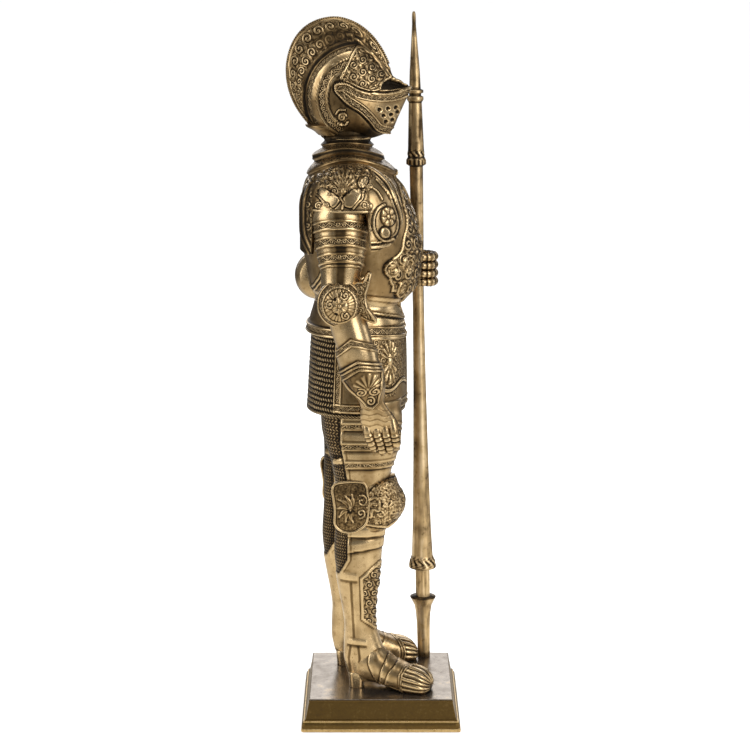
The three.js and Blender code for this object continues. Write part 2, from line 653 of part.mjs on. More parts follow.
function sabaton(side, stride) {
  const ankle = [5.05, -2.9 + stride];
  const turned = ([x, s, z]) => {
    const c = Math.cos(TOES_OUT);
    const d = Math.sin(TOES_OUT);
    return place([side * (ankle[0] + x * c + s * d), ankle[1] + s * c - x * d, z]);
  };
  const section = (s, width, low, high, sides, n = 2.2) => ring(
    [0, s, (low + high) / 2], [width, 0, 0], [0, 0, (high - low) / 2], sides, n,
  ).map(turned);
  const boot = skin([
    section(-2.2, 1.4, 0.9, 4.8, LIMB_SIDES),
    section(0.2, 2.3, 1.4, 7.0, LIMB_SIDES),
    section(2.8, 2.45, 1.0, 7.05, LIMB_SIDES),
    section(3.7, 2.4, 0.6, 5.9, LIMB_SIDES),
    section(3.75, 2.55, 0.6, 6.1, LIMB_SIDES),
    section(4.7, 2.45, 0.1, 4.9, LIMB_SIDES),
    section(4.75, 2.6, 0.1, 5.15, LIMB_SIDES),
    section(7.3, 2.75, -0.6, 3.65, LIMB_SIDES),
    section(7.35, 2.95, -0.7, 3.95, LIMB_SIDES),
    section(7.9, 2.9, -0.7, 3.85, LIMB_SIDES),
  ]);
  const fluted = (s, width, high) => {
    const count = TOE_FLUTES * 2;
    const points = [];
    for (let j = 0; j < count; j += 1) {
      const turn = (2 * Math.PI * j) / count;
      const ripple = 1 + 0.04 * Math.cos(TOE_FLUTES * turn);
      points.push(turned([width * ripple * Math.cos(turn), s, high * 0.12 + high * 0.88 * ripple * Math.sin(turn)]));
    }
    return points;
  };
  const cap = skin([fluted(7.5, 2.85, 3.6), fluted(8.8, 2.9, 3.2), fluted(10.1, 2.2, 2.1),
    fluted(10.7, 1.0, 1.0)]);
  const heel = skin([
    section(-1.85, 1.25, -1, 2.4, 4, 8),
    section(0.3, 1.45, -1, 2.4, 4, 8),
  ]);
  const welt = skin([
    section(0.6, 1.9, 1.15, 1.75, 4, 8), section(3.4, 2.5, 0.55, 1.1, 4, 8),
    section(5.6, 2.8, -0.3, 0.5, 4, 8), section(9.2, 2.9, -0.6, 0.45, 4, 8),
    section(10.8, 1.0, -0.6, 0.35, 4, 8),
  ]);
  return joined([boot, cap, heel, welt]);
}

const leg = (side, stride) => joined([legForm(side, stride), knee(side, stride), sabaton(side, stride)]);

// Lance: a turned shaft that leans slightly back, as [height, radius] from its foot to its tip

function lanceProfile() {
  const head = LANCE_LENGTH - LANCE_HEAD_LENGTH;
  const neck = head - 9;
  const sleeve = neck - LANCE_SLEEVE_LENGTH + 9;
  const bell = LANCE_BELL_HEIGHT;
  const cup = LANCE_CUP_HEIGHT;
  return [
    [0, LANCE_BUTT_RADIUS],
    [cup - 20, LANCE_BUTT_RADIUS * 1.08],
    [cup - 6, LANCE_CUP_RADIUS * 0.68],
    [cup - 1.2, LANCE_CUP_RADIUS * 0.93],
    [cup, LANCE_CUP_RADIUS],
    [cup + 0.4, LANCE_CUP_RADIUS],
    [cup + 0.8, LANCE_HANDLE_RADIUS],
    [bell - 2.6, LANCE_HANDLE_RADIUS],
    [bell - 2.2, LANCE_BELL_RIM_RADIUS],
    [bell, LANCE_BELL_RIM_RADIUS * 0.98],
    [bell + 7, LANCE_BELL_RADIUS],
    [bell + 30, LANCE_BELL_RADIUS * 0.87],
    [bell + 80, LANCE_BELL_RADIUS * 0.72],
    [LANCE_GRIP_HEIGHT - 60, LANCE_GRIP_RADIUS * 1.15],
    [LANCE_GRIP_HEIGHT, LANCE_GRIP_RADIUS],
    [LANCE_GRIP_HEIGHT + 38, LANCE_GRIP_RADIUS],
    [LANCE_GRIP_HEIGHT + 45, LANCE_GRIP_RADIUS * 1.1],
    [sleeve - 2, LANCE_SHAFT_RADIUS],
    [sleeve - 1, LANCE_SLEEVE_RIM_RADIUS],
    [sleeve + 2, LANCE_SLEEVE_RIM_RADIUS],
    [sleeve + 4, LANCE_SLEEVE_RADIUS],
    [neck, LANCE_SLEEVE_RADIUS * 0.8],
    [neck + 2, LANCE_NECK_RADIUS],
    [neck + 4, LANCE_NECK_RADIUS],
    [neck + 4.6, LANCE_HEAD_RADIUS * 1.05],
    [neck + 6.2, LANCE_HEAD_RADIUS * 1.05],
    [neck + 6.8, LANCE_NECK_RADIUS],
    [neck + 8.6, LANCE_NECK_RADIUS],
    [neck + 9.4, LANCE_HEAD_RADIUS],
    [head + 12, LANCE_HEAD_RADIUS * 0.9],
    [LANCE_LENGTH - 2, 0.9],
    [LANCE_LENGTH, 0.45],
  ];
}

function lanceForm(grow = 0) {
  return skin(lanceProfile().map(([height, radius]) => {
    const [x, y] = lanceAxis(height);
    const reach = radius + grow;
    const points = [];
    for (let j = 0; j < LANCE_SIDES; j += 1) {
      const turn = (2 * Math.PI * j) / LANCE_SIDES;
      points.push([x + reach * Math.cos(turn), y + reach * Math.sin(turn), PLINTH_HEIGHT + height]);
    }
    return points;
  }));
}

// Plinth: battered sides over a rounded band

function plinthForm() {
  const top = PLINTH_TOP_WIDTH / 2;
  const foot = PLINTH_BASE_WIDTH / 2;
  const square = (half, z) => [[-half, -half, z], [half, -half, z], [half, half, z], [-half, half, z]];
  const rings = [square(foot - PLINTH_BAND_ROUND, 0)];
  for (let i = 0; i <= 3; i += 1) {
    const turn = (i / 3) * (Math.PI / 2);
    const inset = PLINTH_BAND_ROUND * (1 - Math.sin(turn));
    rings.push(square(foot - inset, PLINTH_BAND_ROUND * (1 - Math.cos(turn))));
  }
  for (let i = 0; i <= 3; i += 1) {
    const turn = (i / 3) * (Math.PI / 2);
    const inset = PLINTH_BAND_ROUND * (1 - Math.cos(turn));
    rings.push(square(foot - inset, PLINTH_BAND_HEIGHT - PLINTH_BAND_ROUND * (1 - Math.sin(turn))));
  }
  rings.push(square(foot - PLINTH_LEDGE, PLINTH_BAND_HEIGHT + 0.3));
  rings.push(square(top + 0.5, PLINTH_HEIGHT - 0.7));
  rings.push(square(top, PLINTH_HEIGHT));
  return skin(rings);
}

// The three pieces

// Facets smaller than this are merged
const SMOOTHING = 0.3;

const STRIDE = -2.05;

// A casting has no sealed hollows or crumbs: only its outer skin is kept.
const LEAST_SHELL = 5;
const withoutHollows = (solid) => joined(solid.decompose().filter((shell) => shell.volume() > LEAST_SHELL));

function knight() {
  const cast = joined([
    torso(), helmet(), pauldron(RIGHT), pauldron(LEFT), rightArm(), leftArm(),
    leg(RIGHT, 0), leg(LEFT, STRIDE),
  ]);
  const trimmed = cast.trimByPlane([0, 0, 1], PLINTH_HEIGHT).subtract(lanceForm(GRIP_CLEARANCE));
  return withoutHollows(trimmed.simplify(SMOOTHING));
}

function meshOf(name, solid, material) {
  const { numProp, vertProperties, triVerts } = solid.getMesh();
  const geometry = new THREE.BufferGeometry();
  const positions = new Float32Array((vertProperties.length / numProp) * 3);
  for (let i = 0; i < positions.length / 3; i += 1) {
    positions.set(vertProperties.slice(i * numProp, i * numProp + 3), i * 3);
  }
  geometry.setAttribute('position', new THREE.BufferAttribute(positions, 3));
  geometry.setIndex(new THREE.BufferAttribute(new Uint32Array(triVerts), 1));
  const mesh = new THREE.Mesh(geometry, material);
  mesh.name = name;
  return mesh;
}

const bronze = (name, color, roughness) => {
  const material = new THREE.MeshStandardMaterial({ color, roughness, metalness: 0.85 });
  material.name = name;
  return material;
};

const group = new THREE.Group();
group.add(meshOf('plinth', plinthForm(), bronze('plinth bronze', 0x6b5433, 0.5)));
group.add(meshOf('knight_figure', knight(), bronze('figure bronze', 0xa58550, 0.42)));
group.add(meshOf('lance', lanceForm(), bronze('lance bronze', 0xa08050, 0.42)));

export default group;
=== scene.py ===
"""Medieval knight statue in antique gold-bronze: the finish of every surface.

The knight is a casting whose armour is built here plate by plate. Its forms are set out in shares:
100 shares are the figure's height from its soles to its comb, x runs to its left, f forward and z up.
Relief is raised along the surface, in millimetres, from carved motifs that are drawn with strokes.
Tones run from 0 for the dark wash to 1 for the brightest rubbed metal, and masks from 0 to 1.
In places the tones also carry painted shade, painted highlights and a painted dark reflection.
"""
import logging
import math
from dataclasses import dataclass
from enum import Enum
from typing import Callable, Iterable, Sequence

import bpy
import numpy as np
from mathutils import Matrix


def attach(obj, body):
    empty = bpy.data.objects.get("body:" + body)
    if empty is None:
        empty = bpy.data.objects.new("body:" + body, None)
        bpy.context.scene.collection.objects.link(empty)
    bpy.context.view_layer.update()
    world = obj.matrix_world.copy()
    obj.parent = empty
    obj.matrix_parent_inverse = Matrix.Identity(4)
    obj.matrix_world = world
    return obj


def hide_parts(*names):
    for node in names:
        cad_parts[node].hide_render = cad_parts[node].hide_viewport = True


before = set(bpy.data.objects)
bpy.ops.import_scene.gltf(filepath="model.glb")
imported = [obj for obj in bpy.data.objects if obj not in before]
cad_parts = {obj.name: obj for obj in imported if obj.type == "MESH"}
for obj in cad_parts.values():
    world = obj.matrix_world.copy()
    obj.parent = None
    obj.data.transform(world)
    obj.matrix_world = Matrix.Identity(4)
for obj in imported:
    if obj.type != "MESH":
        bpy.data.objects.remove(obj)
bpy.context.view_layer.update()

log = logging.getLogger("knight")

Array = np.ndarray
Path = Sequence[Sequence[float]]
Mask = Array | float
Material = bpy.types.Material
Thing = bpy.types.Object
Socket = bpy.types.NodeSocket

FIGURE_HEIGHT_MM = 475.0
SHARE_MM = FIGURE_HEIGHT_MM / 100
FIGURE_OFFSET_X_MM = 4.5
PLINTH_HEIGHT_MM = 22.5
MM = 0.001
TURN = 2 * math.pi
VIEW_SLOPE = 0.207
LANCE_X_MM = 44.0
LANCE_FOOT_MM = 32.5
LANCE_LEAN_MM = 9.3
LANCE_LENGTH_MM = 477.5
CREST_TONE, EDGE_TONE, CUT_TONE = 0.95, 0.14, 0.08
WEATHER_REACH, WEATHER_GAIN = 3, 0.9

# Scale and detail of each noise in the patina
CLOUD, PATCH, SPECK, STREAK, FLECK, PORES = (95, 5), (26, 3), (620, 3), (190, 4), (300, 3), (1600, 2)


class Side(Enum):
    """The figure's own right and left."""

    RIGHT = -1
    LEFT = 1


class Slot(Enum):
    """The record's material slots."""

    FIGURE = "figure_bronze"
    LANCE = "lance_bronze"
    PLINTH = "plinth_bronze"


# Curves and distances

def through(table: Path, at: Array) -> Array:
    """Reads a table's columns on a smooth curve that never overshoots its points.

    Args:
        table: Rows whose first value is the place along the curve, in any order.
        at: The places to read.

    Returns:
        One row of the other columns for each place.
    """
    rows = np.asarray(sorted(table, key=lambda row: row[0]), dtype=float)
    place, value = rows[:, 0], rows[:, 1:]
    step = np.diff(place)[:, None]
    slope = np.diff(value, axis=0) / step
    tangent = np.zeros_like(value)
    tangent[0], tangent[-1] = slope[0], slope[-1]
    before, after = slope[:-1], slope[1:]
    heavy, light = 2 * step[1:] + step[:-1], step[1:] + 2 * step[:-1]
    agree = before * after > 0
    safe_before, safe_after = np.where(agree, before, 1), np.where(agree, after, 1)
    tangent[1:-1] = np.where(agree, (heavy + light) / (heavy / safe_before + light / safe_after), 0)
    index = np.clip(np.searchsorted(place, at, side="right") - 1, 0, len(place) - 2)
    t = ((np.asarray(at) - place[index]) / step[index, 0])[:, None]
    t = np.clip(t, 0, 1)
    low, high = value[index], value[index + 1]
    reach = step[index]
    return (
        low * (1 + 2 * t) * (1 - t) ** 2 + reach * tangent[index] * t * (1 - t) ** 2
        + high * t**2 * (3 - 2 * t) - reach * tangent[index + 1] * t**2 * (1 - t)
    )


def rounded(points: Path, per_span: int = 6, closed: bool = False) -> Array:
    """Passes a smooth curve through points.

    Args:
        points: The points that the curve goes through.
        per_span: New points for each stretch between two of them.
        closed: Whether the curve returns to its start.

    Returns:
        The curve's points, its last one left out where it is closed.
    """
    p = np.asarray(points, dtype=float)
    n = len(p)
    if closed:
        pick = lambda i: p[np.mod(i, n)]
        spans = np.arange(n)
    else:
        pick = lambda i: p[np.clip(i, 0, n - 1)]
        spans = np.arange(n - 1)
    t = (np.arange(per_span) / per_span)[None, :, None]
    a, b, c, d = (pick(spans + k)[:, None, :] for k in (-1, 0, 1, 2))
    curve = 0.5 * (2 * b + (c - a) * t + (2 * a - 5 * b + 4 * c - d) * t**2 + (3 * b - a - 3 * c + d) * t**3)
    curve = curve.reshape(-1, p.shape[1])
    return curve if closed else np.vstack([curve, p[-1]])


def along(path: Path, a: Array, b: Array) -> tuple[Array, Array]:
    """Measures points against an open path in their plane.

    Args:
        path: The path's corners.
        a: First coordinates of the points.
        b: Second coordinates of the points.

    Returns:
        How far along the path each point lies, and its distance to the left of it (minus to the right).
    """
    line = np.asarray(path, dtype=float)
    best = np.full(a.shape, np.inf)
    where = np.zeros(a.shape)
    off = np.zeros(a.shape)
    run = 0.0
    for start, end in zip(line[:-1], line[1:]):
        leg = end - start
        length = float(np.hypot(*leg))
        if length < 1e-9:
            continue
        t = np.clip(((a - start[0]) * leg[0] + (b - start[1]) * leg[1]) / length**2, 0, 1)
        da, db = a - start[0] - t * leg[0], b - start[1] - t * leg[1]
        gap = np.hypot(da, db)
        nearer = gap < best
        best = np.where(nearer, gap, best)
        where = np.where(nearer, run + t * length, where)
        off = np.where(nearer, np.sign(leg[0] * db - leg[1] * da) * gap, off)
        run += length
    return where, off


def inside(outline: Path, a: Array, b: Array, per_span: int = 1) -> Array:
    """Measures how deep points lie inside a closed outline, and minus how far they lie outside it.

    Args:
        outline: The outline's corners.
        a: First coordinates of the points.
        b: Second coordinates of the points.
        per_span: More than one rounds the outline, with that many points to a stretch.

    Returns:
        The depth at each point.
    """
    loop = rounded(outline, per_span, closed=True)
    _, off = along(np.vstack([loop, loop[:1]]), a, b)
    crossed = np.zeros(a.shape, dtype=bool)
    for (a0, b0), (a1, b1) in zip(loop, np.roll(loop, -1, axis=0)):
        spans = (b0 > b) != (b1 > b)
        if b1 != b0:
            crossed ^= spans & (a < (a1 - a0) * (b - b0) / (b1 - b0) + a0)
    return np.where(crossed, np.abs(off), -np.abs(off))


def run_of(points: Array) -> Array:
    """Adds up a path's legs, from 0 at its start."""
    return np.concatenate([[0], np.cumsum(np.linalg.norm(np.diff(points, axis=0), axis=1))])


def rise(distance: Array, soft: float = 0.1) -> Array:
    """Goes smoothly from 0 to 1 as a distance passes zero, over a stretch of twice soft."""
    t = np.clip(distance / (2 * soft) + 0.5, 0, 1)
    return t * t * (3 - 2 * t)


def within(distance: Array, half: float, soft: float = 0.1) -> Array:
    """Covers a band of that half width about zero distance."""
    return rise(half - np.abs(distance), soft)


def between(value: Array, low: float, high: float, soft: float = 0.1) -> Array:
    """Covers the values from low to high."""
    return rise(value - low, soft) * rise(high - value, soft)


def bead(distance: Array, half: float) -> Array:
    """The section of a round ridge: 1 on its crest and 0 from half away."""
    return np.sqrt(np.clip(1 - (distance / half) ** 2, 0, 1))


def oval(centre: Sequence[float], half: Sequence[float], a: Array, b: Array) -> Array:
    """Measures how deep points lie inside an ellipse, roughly, in its smaller half axis."""
    reach = np.hypot((a - centre[0]) / half[0], (b - centre[1]) / half[1])
    return (1 - reach) * min(half)


def spiral(centre: Sequence[float], radius: float, start: float, turns: float, steps: int = 22) -> Array:
    """Winds a spiral from its outer end to its eye.

    Args:
        centre: Place of the eye.
        radius: Reach of the outer end.
        start: Angle of the outer end, in turns.
        turns: Number of turns, minus for the other hand.
        steps: Stretches along it.

    Returns:
        The spiral's points.
    """
    t = np.linspace(0, 1, steps + 1)
    angle = TURN * (start + turns * t)
    reach = radius * (1 - 0.85 * t)
    return np.stack([centre[0] + reach * np.cos(angle), centre[1] + reach * np.sin(angle)], axis=1)


def off_line(path: Path, a: Array, b: Array, per_span: int = 4) -> Array:
    """Measures the distance to the left of a path that is rounded first."""
    return along(rounded(path, per_span), a, b)[1]


def off_curl(curl: tuple, a: Array, b: Array) -> Array:
    """Measures the distance to the left of a spiral, given by its centre, radius, start and turns."""
    return along(spiral(*curl), a, b)[1]


def blurred(values: Array, reach: int) -> Array:
    """Averages a grid over a square window; its columns run round and its rows end.

    Args:
        values: The grid.
        reach: Half the window's width, in points.

    Returns:
        The averages.
    """
    total = sum(np.roll(values, k, axis=1) for k in range(-reach, reach + 1)) / (2 * reach + 1)
    padded = np.pad(total, ((reach, reach), (0, 0)), mode="edge")
    rows = values.shape[0]
    return sum(padded[k:k + rows] for k in range(2 * reach + 1)) / (2 * reach + 1)


# Carved patterns

def rosette(a: Array, b: Array, petals: int) -> Array:
    """Draws a flower on a unit circle: a button, a ring of petals and a groove between each two.

    Args:
        a: Places across it.
        b: Places up it.
        petals: Number of petals.

    Returns:
        Its height, from 0 to 1.
    """
    reach, angle = np.hypot(a, b), np.arctan2(b, a)
    lobes = np.abs(np.cos(angle * petals / 2))
    petal = bead(reach - 0.6, 0.36) * (0.25 + 0.75 * lobes**0.7)
    return np.maximum(petal, bead(reach, 0.24)) * (reach < 1)


def palmette(a: Array, b: Array, leaves: int = 7) -> Array:
    """Draws a fan of leaves that spreads upwards from the origin and fills a unit height.

    Args:
        a: Places across it.
        b: Places up it.
        leaves: Number of leaves.

    Returns:
        Its height, from 0 to 1.
    """
    reach, angle = np.hypot(a, b), np.arctan2(a, b)
    spread = math.radians(75)
    off = (np.mod(angle / (2 * spread / leaves) + 0.5, 1) - 0.5) * 2
    tip = 1 - 0.25 * np.abs(angle / spread)
    body = np.clip(1 - (off / 0.72) ** 2, 0, 1) * rise(tip - reach, 0.06) * rise(reach - 0.16, 0.05)
    fan = np.where(np.abs(angle) < spread, body, 0)
    return np.maximum(fan, bead(reach, 0.16))


def pearls(run: Array, off: Array, pitch: float) -> Array:
    """A row of round beads along a line."""
    return bead(np.hypot(np.mod(run, pitch) - pitch / 2, off), pitch * 0.48)


# Skins: closed surfaces that carry relief

class Skin:
    """A closed surface through rings of points, with relief in millimetres and a tone for its patina, which
    in places also holds painted shade and painted highlights.
    """

    def __init__(self, rings: Array, tone: float = 0.78) -> None:
        """Takes the bare form.

        Args:
            rings: Rings of equal point counts, in shares, as an array of rows, sides and x, f, z.
            tone: How bright the bare surface is, from 0 to 1; mostly how far it is rubbed, and for the
                helmet's neck roll painted shade and for the heel painted light.
        """
        self.rings = rings
        self.height = np.zeros(rings.shape[:2])
        self.tone = np.full(rings.shape[:2], tone)
        self.grain = np.zeros(rings.shape[:2])
        self.weave, self.vine, self.scroll = (np.zeros(rings.shape) for _ in range(3))
        self.x, self.f, self.z = (rings[..., k] for k in range(3))
        beside = np.roll(rings, -1, axis=1) - np.roll(rings, 1, axis=1)
        normal = np.cross(np.gradient(rings, axis=0), beside)
        length = np.linalg.norm(normal, axis=2, keepdims=True)
        self.normal = normal / np.maximum(length, 1e-9)
        outward = self.normal * (rings - rings.mean(axis=1, keepdims=True))
        self.flip = float(np.sum(outward)) < 0
        self.mesh = float(max(np.median(length) ** 0.5, np.median(np.linalg.norm(beside, axis=2)) / 2))
        if self.flip:
            self.normal = -self.normal

    def shaped(self, values: Array) -> Array:
        """Spreads one value for each ring or for each side over the whole skin."""
        return np.broadcast_to(values, self.z.shape)

    def lift(self, mask: Mask, mm: float) -> None:
        """Raises what a mask covers, or sinks it where mm is below zero."""
        self.height += mask * mm

    def paint(self, mask: Mask, tone: Mask) -> None:
        """Brings the tone to a value where a mask covers."""
        self.tone = self.tone * (1 - mask) + tone * mask

    def cover(self, mask: Mask, mm: float, tone: float) -> None:
        """Raises what a mask covers and brings its tone to a value."""
        self.lift(mask, mm)
        self.paint(mask, tone)

    def bare(self, mask: Mask) -> None:
        """Takes the drawn scrolls away where a mask covers."""
        self.scroll[..., 2] *= 1 - mask

    def clear(self, mask: Mask) -> None:
        """Takes the grain and all that is drawn away.

        Args:
            mask: Where, from 0 to 1.
        """
        self.grain = self.grain * (1 - mask)
        for drawing in (self.weave, self.vine, self.scroll):
            drawing[..., 2] *= 1 - mask

    def ridge(self, distance: Array, half: float, mm: float, mask: Mask = 1.0) -> None:
        """Raises a round rib along zero distance, bright on its crest, with a dark line on each side.

        Args:
            distance: The distance from its middle line.
            half: Half its width, in shares; it is never finer than the mesh.
            mm: Its height.
            mask: Where it shows.
        """
        half = max(half, self.mesh * 0.9)
        crest = bead(distance, half) * mask
        beside = bead(np.abs(distance) - half * 1.3, half * 0.5) * mask
        self.height += crest * mm - beside * mm * 0.25
        self.paint(np.clip(beside, 0, 1) * (1 - crest) * min(1.0, mm * 1.4), EDGE_TONE)
        self.paint(crest, CREST_TONE)
        self.clear(crest)

    def crease(self, distance: Array, mask: Mask = 1.0) -> None:
        """Marks a fine seam along zero distance.

        Args:
            distance: The distance from it.
            mask: Where it shows.
        """
        line = bead(distance, max(0.08, self.mesh * 0.8)) * mask
        self.lift(line, -0.15)
        self.paint(line * 0.6, 0.25)

    def groove(self, distance: Array, half: float, mm: float, mask: Mask = 1.0) -> None:
        """Sinks a dark line along zero distance."""
        cut = bead(distance, max(half, self.mesh * 0.8)) * mask
        self.cover(cut, -mm, CUT_TONE)

    def carve(self, mask: Mask, pattern: Array, mm: float, ground: float = 0.1) -> None:
        """Sinks the ground that a mask covers and stands a pattern of 0 to 1 on it, mm high."""
        self.height += mask * (pattern - 0.45) * mm
        self.paint(mask, ground + (0.96 - ground) * np.clip(pattern, 0, 1) ** 1.3)

    def border(self, run: Array, off: Array, half: float, mask: Mask = 1.0, mm: float = 0.55) -> None:
        """Lays a band of running vine between two ribs; the material draws the vine.

        Args:
            run: Distance along the band, in shares.
            off: Distance from its middle line.
            half: Half its width, its ribs left out.
            mask: Where it shows.
            mm: Height of its ribs.
        """
        shown = rise(half - np.abs(off), 0.05) * mask
        place = np.stack([run / (2 * half), (off + half) / (2 * half), shown], axis=-1)
        near = (np.abs(off) < half + 3 * self.mesh) & (np.broadcast_to(mask, off.shape) > 0.001)
        self.vine = np.where(near[..., None], place, self.vine)
        self.lift(shown, -0.25)
        rib = max(0.1, half * 0.22)
        self.ridge(np.abs(off) - half - rib, rib, mm * 0.75, mask)

    def panel(self, mask: Array, a: Array, b: Array, unit: float, mm: float = 0.6) -> None:
        """Fills a field with scrolls, modelled as mounds here and drawn by the material.

        Args:
            mask: Where the field is, from 0 to 1.
            a: Places across it, in shares.
            b: Places up it.
            unit: One scroll's size.
            mm: Height of the mounds.
        """
        u, v = a / unit, b / unit
        row = np.floor(v)
        across = np.mod(u + 0.5 * np.mod(row, 2), 1) - 0.5
        mound = np.sqrt(np.clip(1 - 4 * (across**2 + (v - row - 0.5) ** 2), 0, 1))
        self.lift(mask * (mound - 0.55), mm)
        place = np.stack([u, v, mask], axis=-1)
        bare = np.concatenate([place[..., :2], np.zeros_like(mask)[..., None]], axis=-1)
        kept = np.where(self.scroll[..., 2:] > 0, self.scroll, bare)
        self.scroll = np.where(mask[..., None] > 0.001, place, kept)
        self.paint(mask, 0.7)

    def mail(self, mask: Array, around: Array, up: Array) -> None:
        """Covers a field with small rings, drawn by the material; around and up count rings and rows."""
        self.weave = np.stack([around, up, mask], axis=-1)
        self.paint(mask, 0.4)

    def weather(self) -> None:
        """Darkens hollows and rubs what stands proud, from each point's height over its surroundings."""
        proud = self.height - blurred(self.height, WEATHER_REACH)
        self.tone = np.clip(self.tone + proud * WEATHER_GAIN, 0, 1)


class Casting:
    """Gathers skins into one mesh, as one cast piece."""

    def __init__(self, name: str) -> None:
        """Starts an empty piece.

        Args:
            name: Its name.
        """
        self.name = name
        self.points: list[Array] = []
        self.tones: list[Array] = []
        self.grains: list[Array] = []
        self.places: dict[str, list[Array]] = {"weave": [], "vine": [], "scroll": []}
        self.quads: list[Array] = []
        self.triangles: list[Array] = []
        self.count = 0

    def add(self, skin: Skin) -> None:
        """Adds a skin, its relief raised and its two ends fanned shut.

        Args:
            skin: The skin.
        """
        rows, sides = skin.height.shape
        skin.weather()
        points = skin.rings + skin.normal * (skin.height / SHARE_MM)[..., None]
        ends = np.stack([points[0].mean(axis=0), points[-1].mean(axis=0)])
        index = np.arange(rows * sides).reshape(rows, sides) + self.count
        beside = np.roll(index, -1, axis=1)
        quads = np.stack([index[:-1], beside[:-1], beside[1:], index[1:]], axis=-1).reshape(-1, 4)
        hubs = self.count + rows * sides + np.repeat([[0], [1]], sides, axis=1)
        fans = np.stack([hubs, [beside[0], index[-1]], [index[0], beside[-1]]], axis=-1).reshape(-1, 3)
        if skin.flip:
            quads, fans = quads[:, ::-1], fans[:, ::-1]
        self.points += [points.reshape(-1, 3), ends]
        self.tones += [skin.tone.reshape(-1), np.array([skin.tone[0].mean(), skin.tone[-1].mean()])]
        self.grains += [skin.grain.reshape(-1), np.zeros(2)]
        for label, held in self.places.items():
            held += [getattr(skin, label).reshape(-1, 3), np.zeros((2, 3))]
        self.quads.append(quads)
        self.triangles.append(fans)
        self.count += rows * sides + 2

    def finish(self, material: Material) -> Thing:
        """Makes the mesh object, smooth and with its attributes, and hands it to the frame.

        Args:
            material: Its material.

        Returns:
            The new object.
        """
        points = np.vstack(self.points) * SHARE_MM
        metres = np.column_stack([
            FIGURE_OFFSET_X_MM + points[:, 0], -points[:, 1], PLINTH_HEIGHT_MM + points[:, 2],
        ]) * MM
        quads, triangles = np.vstack(self.quads), np.vstack(self.triangles)
        mesh = bpy.data.meshes.new(self.name)
        mesh.vertices.add(len(metres))
        mesh.vertices.foreach_set("co", metres.astype(np.float32).ravel())
        loops = np.concatenate([quads.ravel(), triangles.ravel()])
        mesh.loops.add(len(loops))
        mesh.loops.foreach_set("vertex_index", loops.astype(np.int32))
        starts = np.concatenate([np.arange(len(quads)) * 4, len(quads) * 4 + np.arange(len(triangles)) * 3])
        mesh.polygons.add(len(starts))
        mesh.polygons.foreach_set("loop_start", starts.astype(np.int32))
        mesh.polygons.foreach_set("use_smooth", np.ones(len(starts), dtype=bool))
        mesh.update(calc_edges=True)
        for label, values in (("tone", self.tones), ("grain", self.grains)):
            held = mesh.attributes.new(label, "FLOAT", "POINT")
            held.data.foreach_set("value", np.concatenate(values).astype(np.float32))
        for label, places in self.places.items():
            held = mesh.attributes.new(label, "FLOAT_VECTOR", "POINT")
            held.data.foreach_set("vector", np.vstack(places).astype(np.float32).ravel())
        piece = bpy.data.objects.new(self.name, mesh)
        bpy.context.scene.collection.objects.link(piece)
        settle(piece, "knight_figure", material)
        return piece


def settle(piece: Thing, node: str, material: Material) -> None:
    """Gives a piece its material and its place in the frame.

    Args:
        piece: The piece.
        node: The node that it stands for.
        material: Its material.
    """
    piece.data.materials.clear()
    piece.data.materials.append(material)
    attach(piece, "root")
    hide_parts(node)


def angles(sides: int, lean: float = 0.0) -> Array:
    """Gives the angles of a ring's points, which lie closer together round zero where they lean to it."""
    even = TURN * (np.arange(sides) + 0.5) / sides
    return even - lean * np.sin(even)


def signed(turn: Array) -> Array:
    """Brings angles between minus and plus half a turn."""
    return np.mod(turn + math.pi, TURN) - math.pi


def squared(wave: Array, square: float) -> Array:
    """Swells a sine or cosine, so that an ellipse grows corners; 2 leaves it as it is."""
    return np.sign(wave) * np.abs(wave) ** (2 / square)


def level_rings(table: Path, heights: Array, sides: int, lean: float = 0.0, square: float = 2.0) -> Array:
    """Makes level rings from rows of z, back, front, half width and x.

    Args:
        table: The rows that the form passes through.
        heights: The heights of the rings.
        sides: Points round each ring.
        lean: How much closer the points lie on its outer side.
        square: How square a ring is; 2 is an ellipse.

    Returns:
        The rings, which run with the heights.
    """
    rows = through([list(row) + [0.0] * (5 - len(row)) for row in table], heights)
    back, front, width, middle = (rows[:, k][:, None] for k in range(4))
    turn = angles(sides, lean)
    rings = np.empty((len(heights), sides, 3))
    rings[..., 0] = middle + width * squared(np.cos(turn), square)
    rings[..., 1] = (back + front) / 2 + (front - back) / 2 * squared(np.sin(turn), square)
    rings[..., 2] = np.asarray(heights)[:, None]
    return rings


def tube_rings(route: Path, rows: int, sides: int, guide: Sequence[float] = (1, 0, 0),
               lean: float = 0.0) -> Array:
    """Makes rings square to a smooth route.

    Args:
        route: Points of x, f, z, radius and flatness; the flatness narrows the ring towards the guide.
        rows: Number of rings.
        sides: Points round each ring.
        guide: The direction that the first ring's narrow axis lies nearest.
        lean: How much closer the points lie on the guide's side.

    Returns:
        The rings from the route's start to its end.
    """
    points = np.array([list(p) + [1.0] * (5 - len(p)) for p in route], dtype=float)
    run = run_of(points[:, :3])
    spots = through(np.column_stack([run, points]), np.linspace(0, run[-1], rows))
    centre = spots[:, :3]
    way = np.gradient(centre, axis=0)
    way /= np.linalg.norm(way, axis=1, keepdims=True)
    across = np.array(guide, dtype=float)
    turn = angles(sides, lean)
    c, s = np.cos(turn), np.sin(turn)
    rings = np.empty((rows, sides, 3))
    for i in range(rows):
        across = across - way[i] * (across @ way[i])
        across /= np.linalg.norm(across)
        tall = np.cross(way[i], across)
        rings[i] = (centre[i] + spots[i, 3] * (spots[i, 4] * c[:, None] * across + s[:, None] * tall))
    return rings


